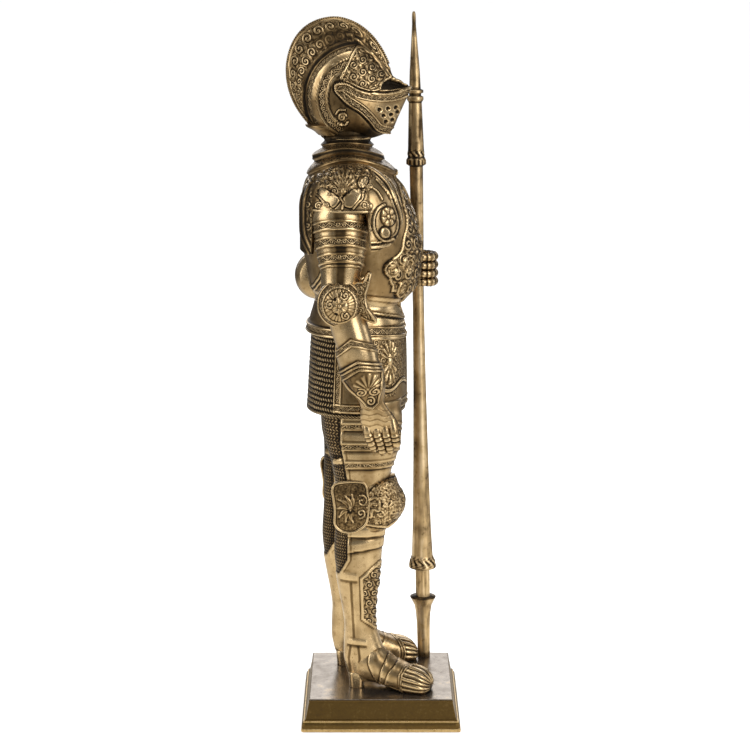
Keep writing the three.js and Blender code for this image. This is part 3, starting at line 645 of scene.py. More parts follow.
def pillow_rings(outline: Path, centre: Sequence[float], spot: float, half: float, rows: int, sides: int,
                 side: Side) -> Array:
    """Makes rings for a plate that stands in a side plane, from its outer face's middle to its inner one's.

    Args:
        outline: Its outline as f and z, which is seen whole from the centre.
        centre: That centre.
        spot: The x of its middle, on the figure's left.
        half: Half its thickness.
        rows: Number of rings.
        sides: Points round each ring.
        side: The figure's side that it is on.

    Returns:
        The rings.
    """
    loop = rounded(outline, 8, closed=True)
    loop = np.vstack([loop, loop[:1]])
    run = run_of(loop)
    at = np.linspace(0, run[-1], sides, endpoint=False)
    edge = np.stack([np.interp(at, run, loop[:, k]) for k in range(2)], axis=1) - np.array(centre)
    rim = math.pi / 2
    bend = np.append(np.linspace(0.02, rim, rows * 3 // 4), np.linspace(rim, 3.1, rows // 4)[1:])
    rings = np.empty((len(bend), sides, 3))
    for i, turn in enumerate(bend):
        reach = math.sin(turn) ** 0.8
        depth = math.copysign(abs(math.cos(turn)) ** 0.55, math.cos(turn))
        rings[i, :, 0] = side.value * (spot + half * depth)
        rings[i, :, 1:] = np.array(centre) + edge * reach
    return rings


def drawn(skin: Skin, reach: float) -> Array:
    """Gives the heights that a view from 12 degrees above shows, true at one distance from the middle."""
    return skin.z - VIEW_SLOPE * (np.abs(skin.x) - reach)


def cord(route: Path, radius: float, rows: int, lay: float, sides: int, tone: float) -> Skin:
    """A corded rim: a tube with slanting strands.

    Args:
        route: The rim's points as x, f, z.
        radius: Its radius in shares.
        rows: Rings along it.
        lay: Strands for each share of its length.
        sides: Points round it.
        tone: Its tone.

    Returns:
        The rim's skin.
    """
    rings = tube_rings([list(p) + [radius] for p in rounded(route, 4)], rows, sides)
    skin = Skin(rings, tone)
    run = run_of(rings.mean(axis=1))[:, None]
    strand = np.sin(TURN * (run * lay + np.arange(sides)[None, :] / sides))
    skin.lift(strand, radius * SHARE_MM * 0.16)
    skin.paint(rise(-strand - 0.2, 0.3), 0.15)
    return skin


def cast(name: str, skins: Iterable[Skin], material: Material) -> Thing:
    """Casts skins as one piece of the figure.

    Args:
        name: The piece's name.
        skins: The skins.
        material: Its material.

    Returns:
        The piece.
    """
    casting = Casting(name)
    for skin in skins:
        casting.add(skin)
    return casting.finish(material)


# Sub-assemblies

@dataclass
class Helmet:
    """The closed burgonet: a skull with a tall comb, a visor and a beaver that share one side outline."""

    half_width: float = 4.9
    ear: tuple[float, float] = (-4.4, 88.6)
    band_centre: tuple[float, float] = (-3.3, 88.5)
    comb_root: float = 8.15
    visor_lift_mm: float = 1.2
    outline_points: int = 400
    skull_rings: int = 60
    outline: tuple = (
        (4.1, 89.75, 4.1, 89.75, 1.35), (3.2, 90.35, 3.3, 90.4, 1.4), (2.1, 90.95, 2.3, 91.1, 1.6),
        (1.3, 91.6, 1.65, 91.7, 1.8), (0.5, 92.6, 1.08, 93.25, 1.9), (-0.6, 93.9, 0.05, 95.35, 2),
        (-1.9, 95.3, -1.55, 97.45, 2), (-3.4, 96.3, -3.7, 99.05, 2), (-5.2, 96.8, -6.35, 99.86, 2),
        (-7.2, 96.6, -9.05, 99.5, 2), (-8.9, 95.7, -11.25, 98.25, 2), (-10.3, 94.3, -12.85, 96.1, 2),
        (-11.3, 92.1, -13.65, 93.2, 2), (-11.5, 89.9, -13.5, 90.2, 2), (-11.1, 87.5, -12.5, 87.4, 2),
        (-10.0, 84.9, -10.8, 84.95, 2), (-9.2, 83.4, -9.2, 83.4, 2), (-8.3, 82.4, -8.3, 82.4, 2),
        (-5, 82.3, -5, 82.3, 2), (-1.8, 82.4, -1.8, 82.4, 2), (0.3, 83.0, 0.3, 83.0, 1.8),
        (1.35, 83.6, 1.35, 83.6, 1.6), (2.3, 85.7, 2.3, 85.7, 1.5), (3.3, 87.9, 3.3, 87.9, 1.4),
    )
    comb_section: tuple = (
        (0, 0.0, 1.0), (1, 0.16, 0.995), (2, 0.3, 0.96), (3, 0.4, 0.86), (4, 0.46, 0.72), (5, 0.52, 0.57),
        (6, 0.6, 0.42), (7, 0.72, 0.27), (8, 0.9, 0.12), (9, 1.08, 0.04), (10, 1.25, 0.0),
    )
    visor_outline: tuple = (
        (-6.6, 89.6), (-6.6, 90.5), (-5.1, 90.75), (-3.05, 89.75), (-0.5, 89.25), (2.0, 89.38),
        (4.3, 90.0), (5.5, 90.1), (5.5, 86), (2.5, 82.9), (1.1, 83.3), (-0.7, 83.85), (-1.8, 85.2),
        (-3.2, 86.6), (-4.8, 87.7), (-6.1, 89.0),
    )
    brow_panel: tuple = (
        (-3.5, 95.83), (-2.57, 95.7), (-1.3, 94.71), (-0.23, 93.52), (0.83, 91.93), (1.5, 90.95),
        (0.43, 90.7), (-0.5, 90.05), (-1.84, 89.75), (-3.17, 90.15), (-4.77, 90.85), (-5.84, 91.47),
        (-5.31, 92.46), (-4.51, 94.05),
    )
    brow_edge: tuple = (
        (-4.6, 81.0), (-6.0, 86), (-6.35, 89), (-6.3, 90.3), (-5.6, 91.4), (-4.5, 94.05), (-3.4, 96.4),
        (-2.9, 98.5),
    )
    keel: tuple = ((-4.9, 97.6), (-3.4, 96.6), (-1.9, 95.4), (-0.4, 93.9), (0.9, 92.2), (1.9, 91.0))
    lip: tuple = (
        (-6.6, 90.6), (-5.1, 90.95), (-3.1, 90.0), (-1.8, 89.62), (-0.5, 89.75), (0.1, 90.5), (1.1, 91.2),
    )
    upper_band: tuple = (
        (-6.1, 90.1), (-5.0, 90.1), (-3.1, 89.05), (-0.55, 88.55), (2.1, 88.65), (4.4, 89.35),
    )
    lower_band: tuple = (
        (-5.75, 89.3), (-4.5, 88.25), (-2.85, 87.15), (-1.5, 85.75), (-0.35, 84.35), (1.2, 83.75),
        (2.6, 83.5),
    )
    eye_slit: tuple = (
        (-0.1, 90.3), (0.4, 90.85), (1.1, 91.1), (1.9, 90.87), (3.1, 90.47), (3.77, 90.0), (1.37, 89.68),
        (0.03, 89.72),
    )
    breath_holes: tuple = (
        (-0.35, 86.9), (0.88, 87.0), (2.03, 87.1), (0.23, 86.0), (1.33, 86.1), (2.23, 86.4), (0.56, 85.1),
        (1.51, 85.3),
    )
    roll: tuple = (
        (81.9, -8.0, -1.7, 3.1), (82.5, -8.3, -1.4, 3.4), (82.9, -8.4, -1.3, 3.5),
        (83.3, -8.1, -1.6, 3.2), (84.2, -7.9, -1.8, 3.0),
    )
    nape: tuple = (
        (83.0, -9.2, -5.5, 2.9), (83.6, -9.9, -5.5, 3.2), (84.3, -11.05, -5.5, 3.55),
        (84.5, -11.1, -5.5, 3.5), (84.62, -10.2, -5.5, 3.0), (84.66, -9.0, -5.5, 2.6),
    )

    def rings(self) -> Array:
        """Works out the helmet's rings, each a side outline at a distance from the middle plane.

        Returns:
            The rings.
        """
        fine = rounded(self.outline, 24, closed=True)
        run = run_of(fine[:, 2:4])
        at = np.linspace(0, run[-1], self.outline_points)
        edge = np.stack([np.interp(at, run, fine[:, k]) for k in range(5)], axis=1)
        skull, comb, square = edge[:, 0:2], edge[:, 2:4], np.clip(edge[:, 4], 1.3, 2)
        ear = np.array(self.ear)
        half = []
        for x, part in through(self.comb_section, np.linspace(0, 10, 17)):
            shrink = (1 - (x / self.half_width) ** square) ** (1 / square)
            half.append((np.full(len(edge), x), shrink, part))
        start = np.arcsin((1.25 / self.half_width) ** (square / 2))
        for t in np.linspace(0, 0.992, self.skull_rings)[1:]:
            turn = start + (math.pi / 2 - start) * t
            half.append((self.half_width * np.sin(turn) ** (2 / square), np.cos(turn) ** (2 / square), 0.0))
        rings = []
        for side, stations in ((-1, half[:0:-1]), (1, half)):
            for x, shrink, part in stations:
                reach = ear + (skull + (comb - skull) * part - ear) * shrink[:, None]
                rings.append(np.column_stack([side * x, reach]))
        return np.array(rings)

    def carved(self) -> Skin:
        """Raises the bands, the comb's scrolls, the brow's panel and the visor on the bare form.

        Returns:
            Its skin.
        """
        skin = Skin(self.rings(), 0.62)
        x, f, z = np.abs(skin.x), skin.f, skin.z
        df, dz = f - self.band_centre[0], z - self.band_centre[1]
        reach, run = np.hypot(df, dz), np.arctan2(dz, -df) * 6.3
        turn = np.degrees(np.arctan2(dz, -df))
        visor = inside(self.visor_outline, f, z, 4)
        panel = inside(self.brow_panel, f, z)
        brow_side = along(self.brow_edge, f, z)[1]
        skull = rise(-visor - 0.1) * rise(brow_side - 0.05)
        self.carve_comb(skin, turn, reach)
        skin.ridge(reach - self.comb_root, 0.15, 0.6, skull)
        skin.paint(within(reach - 7.8, 0.36, 0.05) * skull, 0.2)
        skin.border(run, reach - 7.2, 0.27, skull, 0.4)
        bright = within(reach - 6.32, 0.45, 0.07) * skull
        skin.cover(bright, 0.75, 0.78)
        skin.border(run * 0.85, reach - 5.28, 0.45, skull, 0.6)
        skin.ridge(reach - 4.45, 0.16, 0.55, skull)
        cheek = rise(-visor - 0.1) * rise(0.1 - brow_side, 0.3) * rise(90.5 - z, 0.4)
        skin.paint(cheek, 0.6)
        skin.paint(within(reach - 7.75, 0.5, 0.3) * rise(reach - 7.4) * skull * 0.8, 0.15)
        self.carve_brow(skin, panel, visor)
        self.carve_visor(skin, visor)
        for path in (spiral((-5.6, 85.85), 0.62, 0.05, 1.4), spiral((-5.9, 84.8), 0.36, 0.5, -1.2),
                     rounded([(-6.5, 86.3), (-6.0, 86.95), (-5.2, 86.9)], 5),
                     rounded([(-5.9, 84.9), (-5.2, 84.7), (-4.8, 85.2)], 5)):
            skin.ridge(along(path, f, z)[1], 0.16, 0.9, rise(x - 2.5, 0.3))
        # Painted shade: the helmet is darkened towards its lower edge, over the gap at the neck.
        skin.paint(rise(84.6 - z, 0.8) * 0.75, 0.2)
        # Painted dark reflection: the skull's middle near the comb root is darkened and mostly cleared of
        # scrolls, in line with the dark stripe painted on the gorget and the pauldron.
        soot = rise(oval((-5.7, 96.7), (3.3, 1.6), f, z), 0.9) * rise(reach - 6.9, 0.3)
        skin.bare(0.8 * soot)
        skin.paint(soot * 0.95, 0.05)
        return skin

    def carve_comb(self, skin: Skin, turn: Array, reach: Array) -> None:
        """Covers the comb with scrolls between its root and its rim, in two rows behind and one before.

        Args:
            skin: The helmet's skin.
            turn: Degrees round the bands' centre, from the back over the top.
            reach: Distance from that centre.
        """
        centre = np.array(self.band_centre)
        rim = np.array([(row[2], row[3]) for row in self.outline[4:18]]) - centre
        rim_turn = np.degrees(np.arctan2(rim[:, 1], -rim[:, 0]))
        order = np.argsort(rim_turn)
        edge = np.interp(turn, rim_turn[order], np.hypot(rim[:, 0], rim[:, 1])[order]) - 0.35
        root = np.interp(turn, [-30, 86, 89, 101.5, 118, 138.6], [8.4, 8.4, 8.3, 7.3, 6.4, 5.8])
        tall = np.maximum(edge - root, 0.3)
        count = np.where(turn < 87, 2.0, 1.0)
        ends = rise(turn + 31, 1.5) * rise(139 - turn, 1.5)
        comb = rise(reach - root, 0.06) * rise(edge - reach, 0.06) * ends
        skin.panel(comb, np.radians(turn) * 10.0 * count / 3.4, (reach - root) / tall * count, 1.0, 0.9)
        skin.ridge(reach - root + 0.05, 0.13, 0.5, ends)
        skin.ridge(edge - reach, 0.13, 0.5, ends)

    def carve_brow(self, skin: Skin, panel: Array, visor: Array) -> None:
        """Fills the brow's panel with scrolls and edges it with ridges.

        Args:
            skin: The helmet's skin.
            panel: Depth inside the panel.
            visor: Depth inside the visor.
        """
        f, z = skin.f, skin.z
        free = rise(-visor, 0.06)
        skin.panel(rise(panel - 0.25, 0.07) * free, f * 0.9 + z * 0.44, z * 0.9 - f * 0.44 + 0.5, 1.5, 1.0)
        skin.ridge(panel - 0.05, 0.17, 0.75, free)
        skin.ridge(off_line(self.keel, f, z), 0.16, 0.6)
        skin.ridge(off_line(self.lip, f, z), 0.2, 0.8)
        slit = inside(self.eye_slit, f, z)
        skin.lift(rise(slit, 0.08), -2.2)
        skin.paint(rise(slit + 0.02, 0.06), 0.0)
        skin.ridge(slit + 0.16, 0.14, 0.8, rise(z - 89.6))

    def carve_visor(self, skin: Skin, visor: Array) -> None:
        """Lays the visor's plate over the face, with its two borders and its breath holes.

        Args:
            skin: The helmet's skin.
            visor: Depth inside the visor.
        """
        f, z = skin.f, skin.z
        plate = rise(visor, 0.07)
        skin.lift(plate, self.visor_lift_mm)
        skin.paint(plate, 0.74)
        skin.groove(visor + 0.14, 0.16, 0.4)
        for band, half in ((self.upper_band, 0.27), (self.lower_band, 0.3)):
            run, off = along(rounded(band, 4), f, z)
            skin.border(run, off, half, plate, 0.6)
        skin.ridge(visor - 0.12, 0.14, 0.7)
        for hole in self.breath_holes:
            pit = rise(oval(hole, (0.28, 0.28), f, z), 0.04)
            skin.cover(pit, -1.4, 0.0)

    def build(self, material: Material) -> Thing:
        """Builds the helmet with its corded comb, the roll at its neck and its nape flange.

        Args:
            material: Its material.

        Returns:
            The helmet.
        """
        rim = cord([(0, row[2], row[3]) for row in self.outline[4:17]], 0.21, 460, 3.0, 8, 0.7)
        # The neck roll is painted dark as shade under the helmet, with one thin bright ring.
        neck = Skin(level_rings(self.roll, np.linspace(81.9, 84.2, 26), 140), 0.2)
        neck.ridge(neck.z - 82.6, 0.14, 0.4)
        nape = Skin(level_rings(self.nape, np.linspace(83.0, 84.66, 22), 120), 0.6)
        return cast("helmet", (self.carved(), rim, neck, nape), material)


@dataclass
class Cuirass:
    """The gorget, the breastplate, the backplate and the upper fauld, as one round form."""

    rows: int = 200
    sides: int = 290
    girth: float = 8.2
    seam: float = 14.2
    form: tuple = (
        (83.1, -8.3, -1.5, 3.4), (82.6, -8.5, -1.3, 3.6), (82.2, -8.3, -1.6, 3.4),
        (81.5, -8.8, -1.1, 3.8), (81.3, -8.6, -1.3, 3.7), (79.9, -10.1, 0.4, 5), (79.5, -10.1, 0.55, 5.1),
        (79.3, -9.8, 0.1, 4.8), (77.8, -10.8, 2.2, 6.4), (77.3, -10.9, 2.35, 6.5),
        (77.1, -10.7, 2.0, 6.4), (75, -11.4, 3.35, 8.2), (73, -11.6, 4.3, 8.6), (71.3, -11.7, 5, 8.8),
        (68.7, -11.6, 5.6, 8.7), (66.2, -11.3, 6, 8.3), (63.9, -10.9, 5.9, 7.9), (60.5, -10.3, 5.05, 6.9),
        (59.5, -9.9, 4.15, 6.35), (58.9, -9.75, 3.55, 6.3), (58.1, -9.75, 2.75, 6.45),
        (57.5, -9.85, 3.0, 6.75), (56.6, -9.95, 3.3, 7.05), (55.7, -10.0, 3.5, 7.3),
        (54.2, -10.1, 3.3, 7.2),
    )
    field_outline: tuple = (
        (0.6, 76.5), (3, 75.8), (4.1, 73.5), (4.6, 71.5), (5.2, 70), (6.2, 68.6), (7.2, 66.6),
        (8.8, 65.5), (9.75, 64.9), (9.95, 63.7), (9.1, 62.8), (8.9, 62.2), (8.3, 61.4), (8.4, 60.7),
        (7.7, 60.8), (7.35, 60.2), (6, 59.7), (4.8, 59.9), (3.4, 59.0), (0.6, 58.8),
    )
    lobes: tuple = (
        ((8.65, 64.15), 0.9, 0.3, 2.0), ((5.6, 64.6), 1.05, 0.1, -1.8), ((6.15, 60.95), 0.9, 0.6, 1.8),
    )
    back_outline: tuple = (
        (0.7, 75.6), (5.6, 75.0), (8.0, 71.5), (7.8, 66.5), (5.8, 61.9), (0.7, 60.9),
    )

    def carved(self) -> Skin:
        """Raises the collars, the breast's foliage, the back's ribs and the fauld's edges.

        Returns:
            Its skin.
        """
        heights = np.linspace(54.2, 83.1, self.rows)
        rings = level_rings(self.form, heights, self.sides)
        saddle = np.interp(heights, [73, 77, 81, 83.1], [0, 1.6, 1.5, 0])[:, None]
        rings[..., 2] += saddle * (rings[..., 0] / 5.2) ** 2
        skin = Skin(rings, 0.64)
        z = skin.shaped(heights[:, None])
        s = skin.shaped(np.arccos(np.sin(angles(self.sides))) * self.girth)
        self.carve_breast(skin, s, z)
        self.carve_back(skin, math.pi * self.girth - s, z)
        self.carve_edges(skin, s, z)
        # Painted shade: the gorget under the helmet is darkened.
        skin.paint(rise(z - 77.2, 0.5) * 0.65, 0.16)
        # Painted dark reflection: a dark stripe down the gorget's middle on the side that faces the camera,
        # in line with the stripes on the pauldron and the upper arm.
        skin.paint(within(skin.f + 5.7, 1.3, 1.0) * rise(z - 77.5, 1.5) * 0.75, 0.05)
        return skin

    def carve_breast(self, skin: Skin, s: Array, z: Array) -> None:
        """Fills the breastplate's field with foliage about an oval flower on its keel.

        Args:
            skin: The trunk's skin.
            s: Distance round it from its front.
            z: Height.
        """
        flower = oval((0, 66.2), (1.45, 2.0), s, z)
        clear = rise(-flower, 0.08)
        depth = inside(self.field_outline, s, z, 3)
        skin.panel(rise(depth - 0.35, 0.08) * clear * rise(s - 0.8, 0.08), s, z - 0.4, 2.2, 1.5)
        skin.ridge(depth - 0.12, 0.2, 1.0, clear * rise(s - 0.7))
        stem = rise(0.55 - s, 0.08) * clear * between(z, 60.6, 76)
        skin.carve(stem, pearls(z, s * 0.9, 0.85), 0.9)
        skin.ridge(s - 0.68, 0.12, 0.6, clear * between(z, 60.6, 76.4))
        skin.ridge(flower - 0.15, 0.2, 1.0)
        petals = rosette(s / 0.95, (z - 66.2) / 1.45, 8)
        skin.cover(petals, 1.1, 0.9)
        for lobe in self.lobes:
            centre, radius = lobe[:2]
            reach = np.hypot(s - centre[0], z - centre[1])
            skin.lift(rise(radius + 0.25 - reach, 0.08), 0.35)
            skin.paint(rise(radius + 0.2 - reach, 0.08), 0.3)
            skin.ridge(off_curl(lobe, s, z), 0.15, 0.8, rise(radius + 0.2 - reach, 0.05))
            skin.ridge(reach - radius - 0.2, 0.14, 0.7)

    def carve_back(self, skin: Skin, b: Array, z: Array) -> None:
        """Gives the plain back a keel, a rib outline and a side seam with two straps.

        Args:
            skin: The trunk's skin.
            b: Distance round it from its back.
            z: Height.
        """
        plate = between(z, 60, 76.5)
        depth = inside(self.back_outline, b, z, 3)
        skin.ridge(depth - 0.1, 0.16, 0.6, plate)
        skin.ridge(depth - 0.75, 0.12, 0.45, plate)
        skin.ridge(b, 0.22, 0.8, plate)
        seam = b - (math.pi * self.girth - self.seam)
        skin.groove(seam, 0.16, 0.9, plate)
        for height in (62.6, 71.2):
            strap = within(seam, 1.3) * within(z - height, 0.55, 0.08)
            skin.cover(strap, 0.9, 0.6)
            skin.ridge(oval((0.7, height), (0.3, 0.3), seam, z), 0.14, 0.6)

    def carve_edges(self, skin: Skin, s: Array, z: Array) -> None:
        """Runs the collars' bands round the neck and edges the breastplate and the two faulds.

        Args:
            skin: The trunk's skin.
            s: Distance round it from its front.
            z: Height.
        """
        skin.border(s, z - 80.75, 0.66, 0.6, 0.4)
        skin.border(s, z - 78.35, 0.86, 0.6, 0.4)
        for level in (81.38, 80.1, 79.3, 77.6):
            skin.ridge(z - level, 0.11, 0.3)
        # Painted shade: the upright strip between the ribs at 79.3 and 80.1 is darkened.
        skin.paint(within(z - 79.68, 0.22, 0.08) * 0.9, 0.1)
        # Painted shade in the gap at the neck, under the helmet.
        skin.paint(within(z - 82.2, 0.35, 0.2), 0.15)
        hem = z - 58.5 - 0.138 * np.minimum(s, 12.5) + rise(2.5 - s, 2.0) * 0.4
        # Painted highlight: the waist below the breastplate's edge is painted at full brightness.
        skin.paint(rise(-hem, 0.15), 1.0)
        skin.lift(rise(hem, 0.25) * rise(63.5 - z, 1.2), 0.5)
        skin.ridge(hem + 0.3, 0.3, 0.25)
        fauld = z - 55.65 - 0.17 * np.minimum(s, 11.0)
        skin.ridge(fauld - 0.16, 0.11, 0.5)
        skin.groove(fauld + 0.1, 0.12, 0.8)
        skin.lift(pearls(s, fauld - 0.42, 0.26), 0.4)

    def build(self, material: Material) -> Thing:
        """Builds the trunk."""
        return cast("cuirass", (self.carved(),), material)


@dataclass
class Skirt:
    """The mail skirt, with the tassets over its front and the culet over its back."""

    rows: int = 172
    sides: int = 280
    girth: float = 8.0
    pitch: float = 0.73
    rear: float = 16.3
    form: tuple = (
        (56.0, -9.8, 3.1, 7.0), (55.3, -10.1, 3.25, 7.6), (54, -10.25, 3.35, 7.95),
        (48, -10.65, 3.5, 8.5), (42.3, -11, 3.55, 9),
    )
    culet: tuple = (
        (58.6, -9.85, 1, 6.5), (57.5, -10.15, 1, 7.0), (56.4, -10.5, 1, 7.6), (55.6, -10.75, 1, 8.0),
        (55.35, -11.05, 1, 8.35), (54.8, -11.15, 1, 8.45), (54.3, -11.1, 1, 8.4), (54.0, -10.8, 1, 8.2),
    )

    def carved(self) -> Skin:
        """Raises the mail's rows and lays the two tassets over them.

        Returns:
            Its skin.
        """
        skin = Skin(level_rings(self.form, np.linspace(42.3, 56, self.rows), self.sides), 0.74)
        s = skin.shaped(np.arccos(np.sin(angles(self.sides))) * self.girth)
        z = skin.z
        plate = rise(self.rear - s) * rise(z - 43.0) * rise(s - 0.35, 0.08)
        mail = 1 - plate
        place = (z - 42.9) / self.pitch + 0.03 * np.sin(s * 1.7 + z) + 0.03 * np.sin(s * 4.1 - z)
        row = bead(np.mod(place, 1) - 0.5, 0.5)
        skin.mail(mail * 1.5, s * 1.9, place)
        skin.lift(row * mail, 0.8)
        skin.paint(mail, 0.38)
        skin.paint(mail * rise(row - 0.93, 0.05) * 0.4, 0.6)
        skin.lift(plate * rise(55.5 - z, 0.25), 1.6)
        self.carve_tasset(skin, s, plate)
        return skin

    def carve_tasset(self, skin: Skin, s: Array, plate: Array) -> None:
        """Carves a tasset's top band, leafy panel, pointed ridge and borders.

        Args:
            skin: The skirt's skin.
            s: Distance round it from its front.
            plate: Where the tasset is.
        """
        z = skin.z
        top = z - 54.0 - 0.1 * np.minimum(s, 9.5)
        skin.paint(rise(top - 0.6, 0.05) * plate, 0.97)
        skin.border(s, top, 0.44, plate, 0.85)
        skin.ridge(top + 0.76 + 0.02 * s, 0.28, 0.35, plate)
        edge = 46.95 - 0.55 * np.cos(TURN * (s - 7) / 7)
        front = plate * rise(11.2 - s)
        leafy = front * rise(z - edge - 0.1, 0.08) * rise(-1.05 - 0.02 * s - top) * rise(s - 1.6)
        skin.panel(leafy * 0.75, s, z, 1.35, 0.5)
        across = s - 6.9
        leaves = palmette(across / 2.3, (z - 50.6) / 2.9)
        leaves = np.maximum(leaves, palmette(across / 1.9, (50.2 - z) / 3.2, 5))
        leaves = np.maximum(leaves, bead(np.hypot(across, z - 50.4), 0.6)) * leafy
        skin.lift(leaves, 1.7)
        skin.bare(rise(leaves - 0.1))
        skin.paint(rise(leaves - 0.1), 0.97)
        skin.ridge(z - edge + 0.35, 0.3, 0.8, front * rise(s - 1.6))
        skin.ridge(s - 11.4, 0.16, 0.6, plate * rise(53.5 - z) * rise(z - 44.9))
        scrolled = front * rise(z - 45.1) * rise(edge - 0.85 - z) * rise(s - 1.6)
        skin.panel(scrolled * within(np.mod(s - 3.5, 7) - 3.5, 1.6, 0.3) * 0.8, s, z, 1.3, 0.7)
        skin.border(z, s - self.rear + 0.75, 0.4, plate * rise(53.7 - z), 0.65)
        skin.border(z, s - 0.95, 0.36, plate * rise(53.7 - z), 0.6)
        skin.border(s, z - 43.75, 0.36, plate, 0.65)

    def over_back(self) -> Skin:
        """Shapes the culet: a flared plate that ends at the hips, with a leafy roll round its edge.

        Returns:
            Its skin.
        """
        rings = level_rings(self.culet, np.linspace(54.0, 58.6, 46), 210)
        ahead = np.maximum(rings[..., 1] + 4.6, 0)
        rings[..., 1] -= ahead * 0.94
        rings[..., 0] *= 1 - 0.04 * np.minimum(ahead, 2)
        skin = Skin(rings, 0.55)
        s = skin.shaped(np.arccos(np.sin(angles(210))) * 8.6)
        skin.border(s, skin.z - 54.8, 0.36, 1.0, 0.7)
        skin.ridge(skin.z - 54.25, 0.12, 0.5)
        return skin

    def build(self, material: Material) -> Thing:
        """Builds the skirt and its plates."""
        return cast("skirt", (self.carved(), self.over_back()), material)


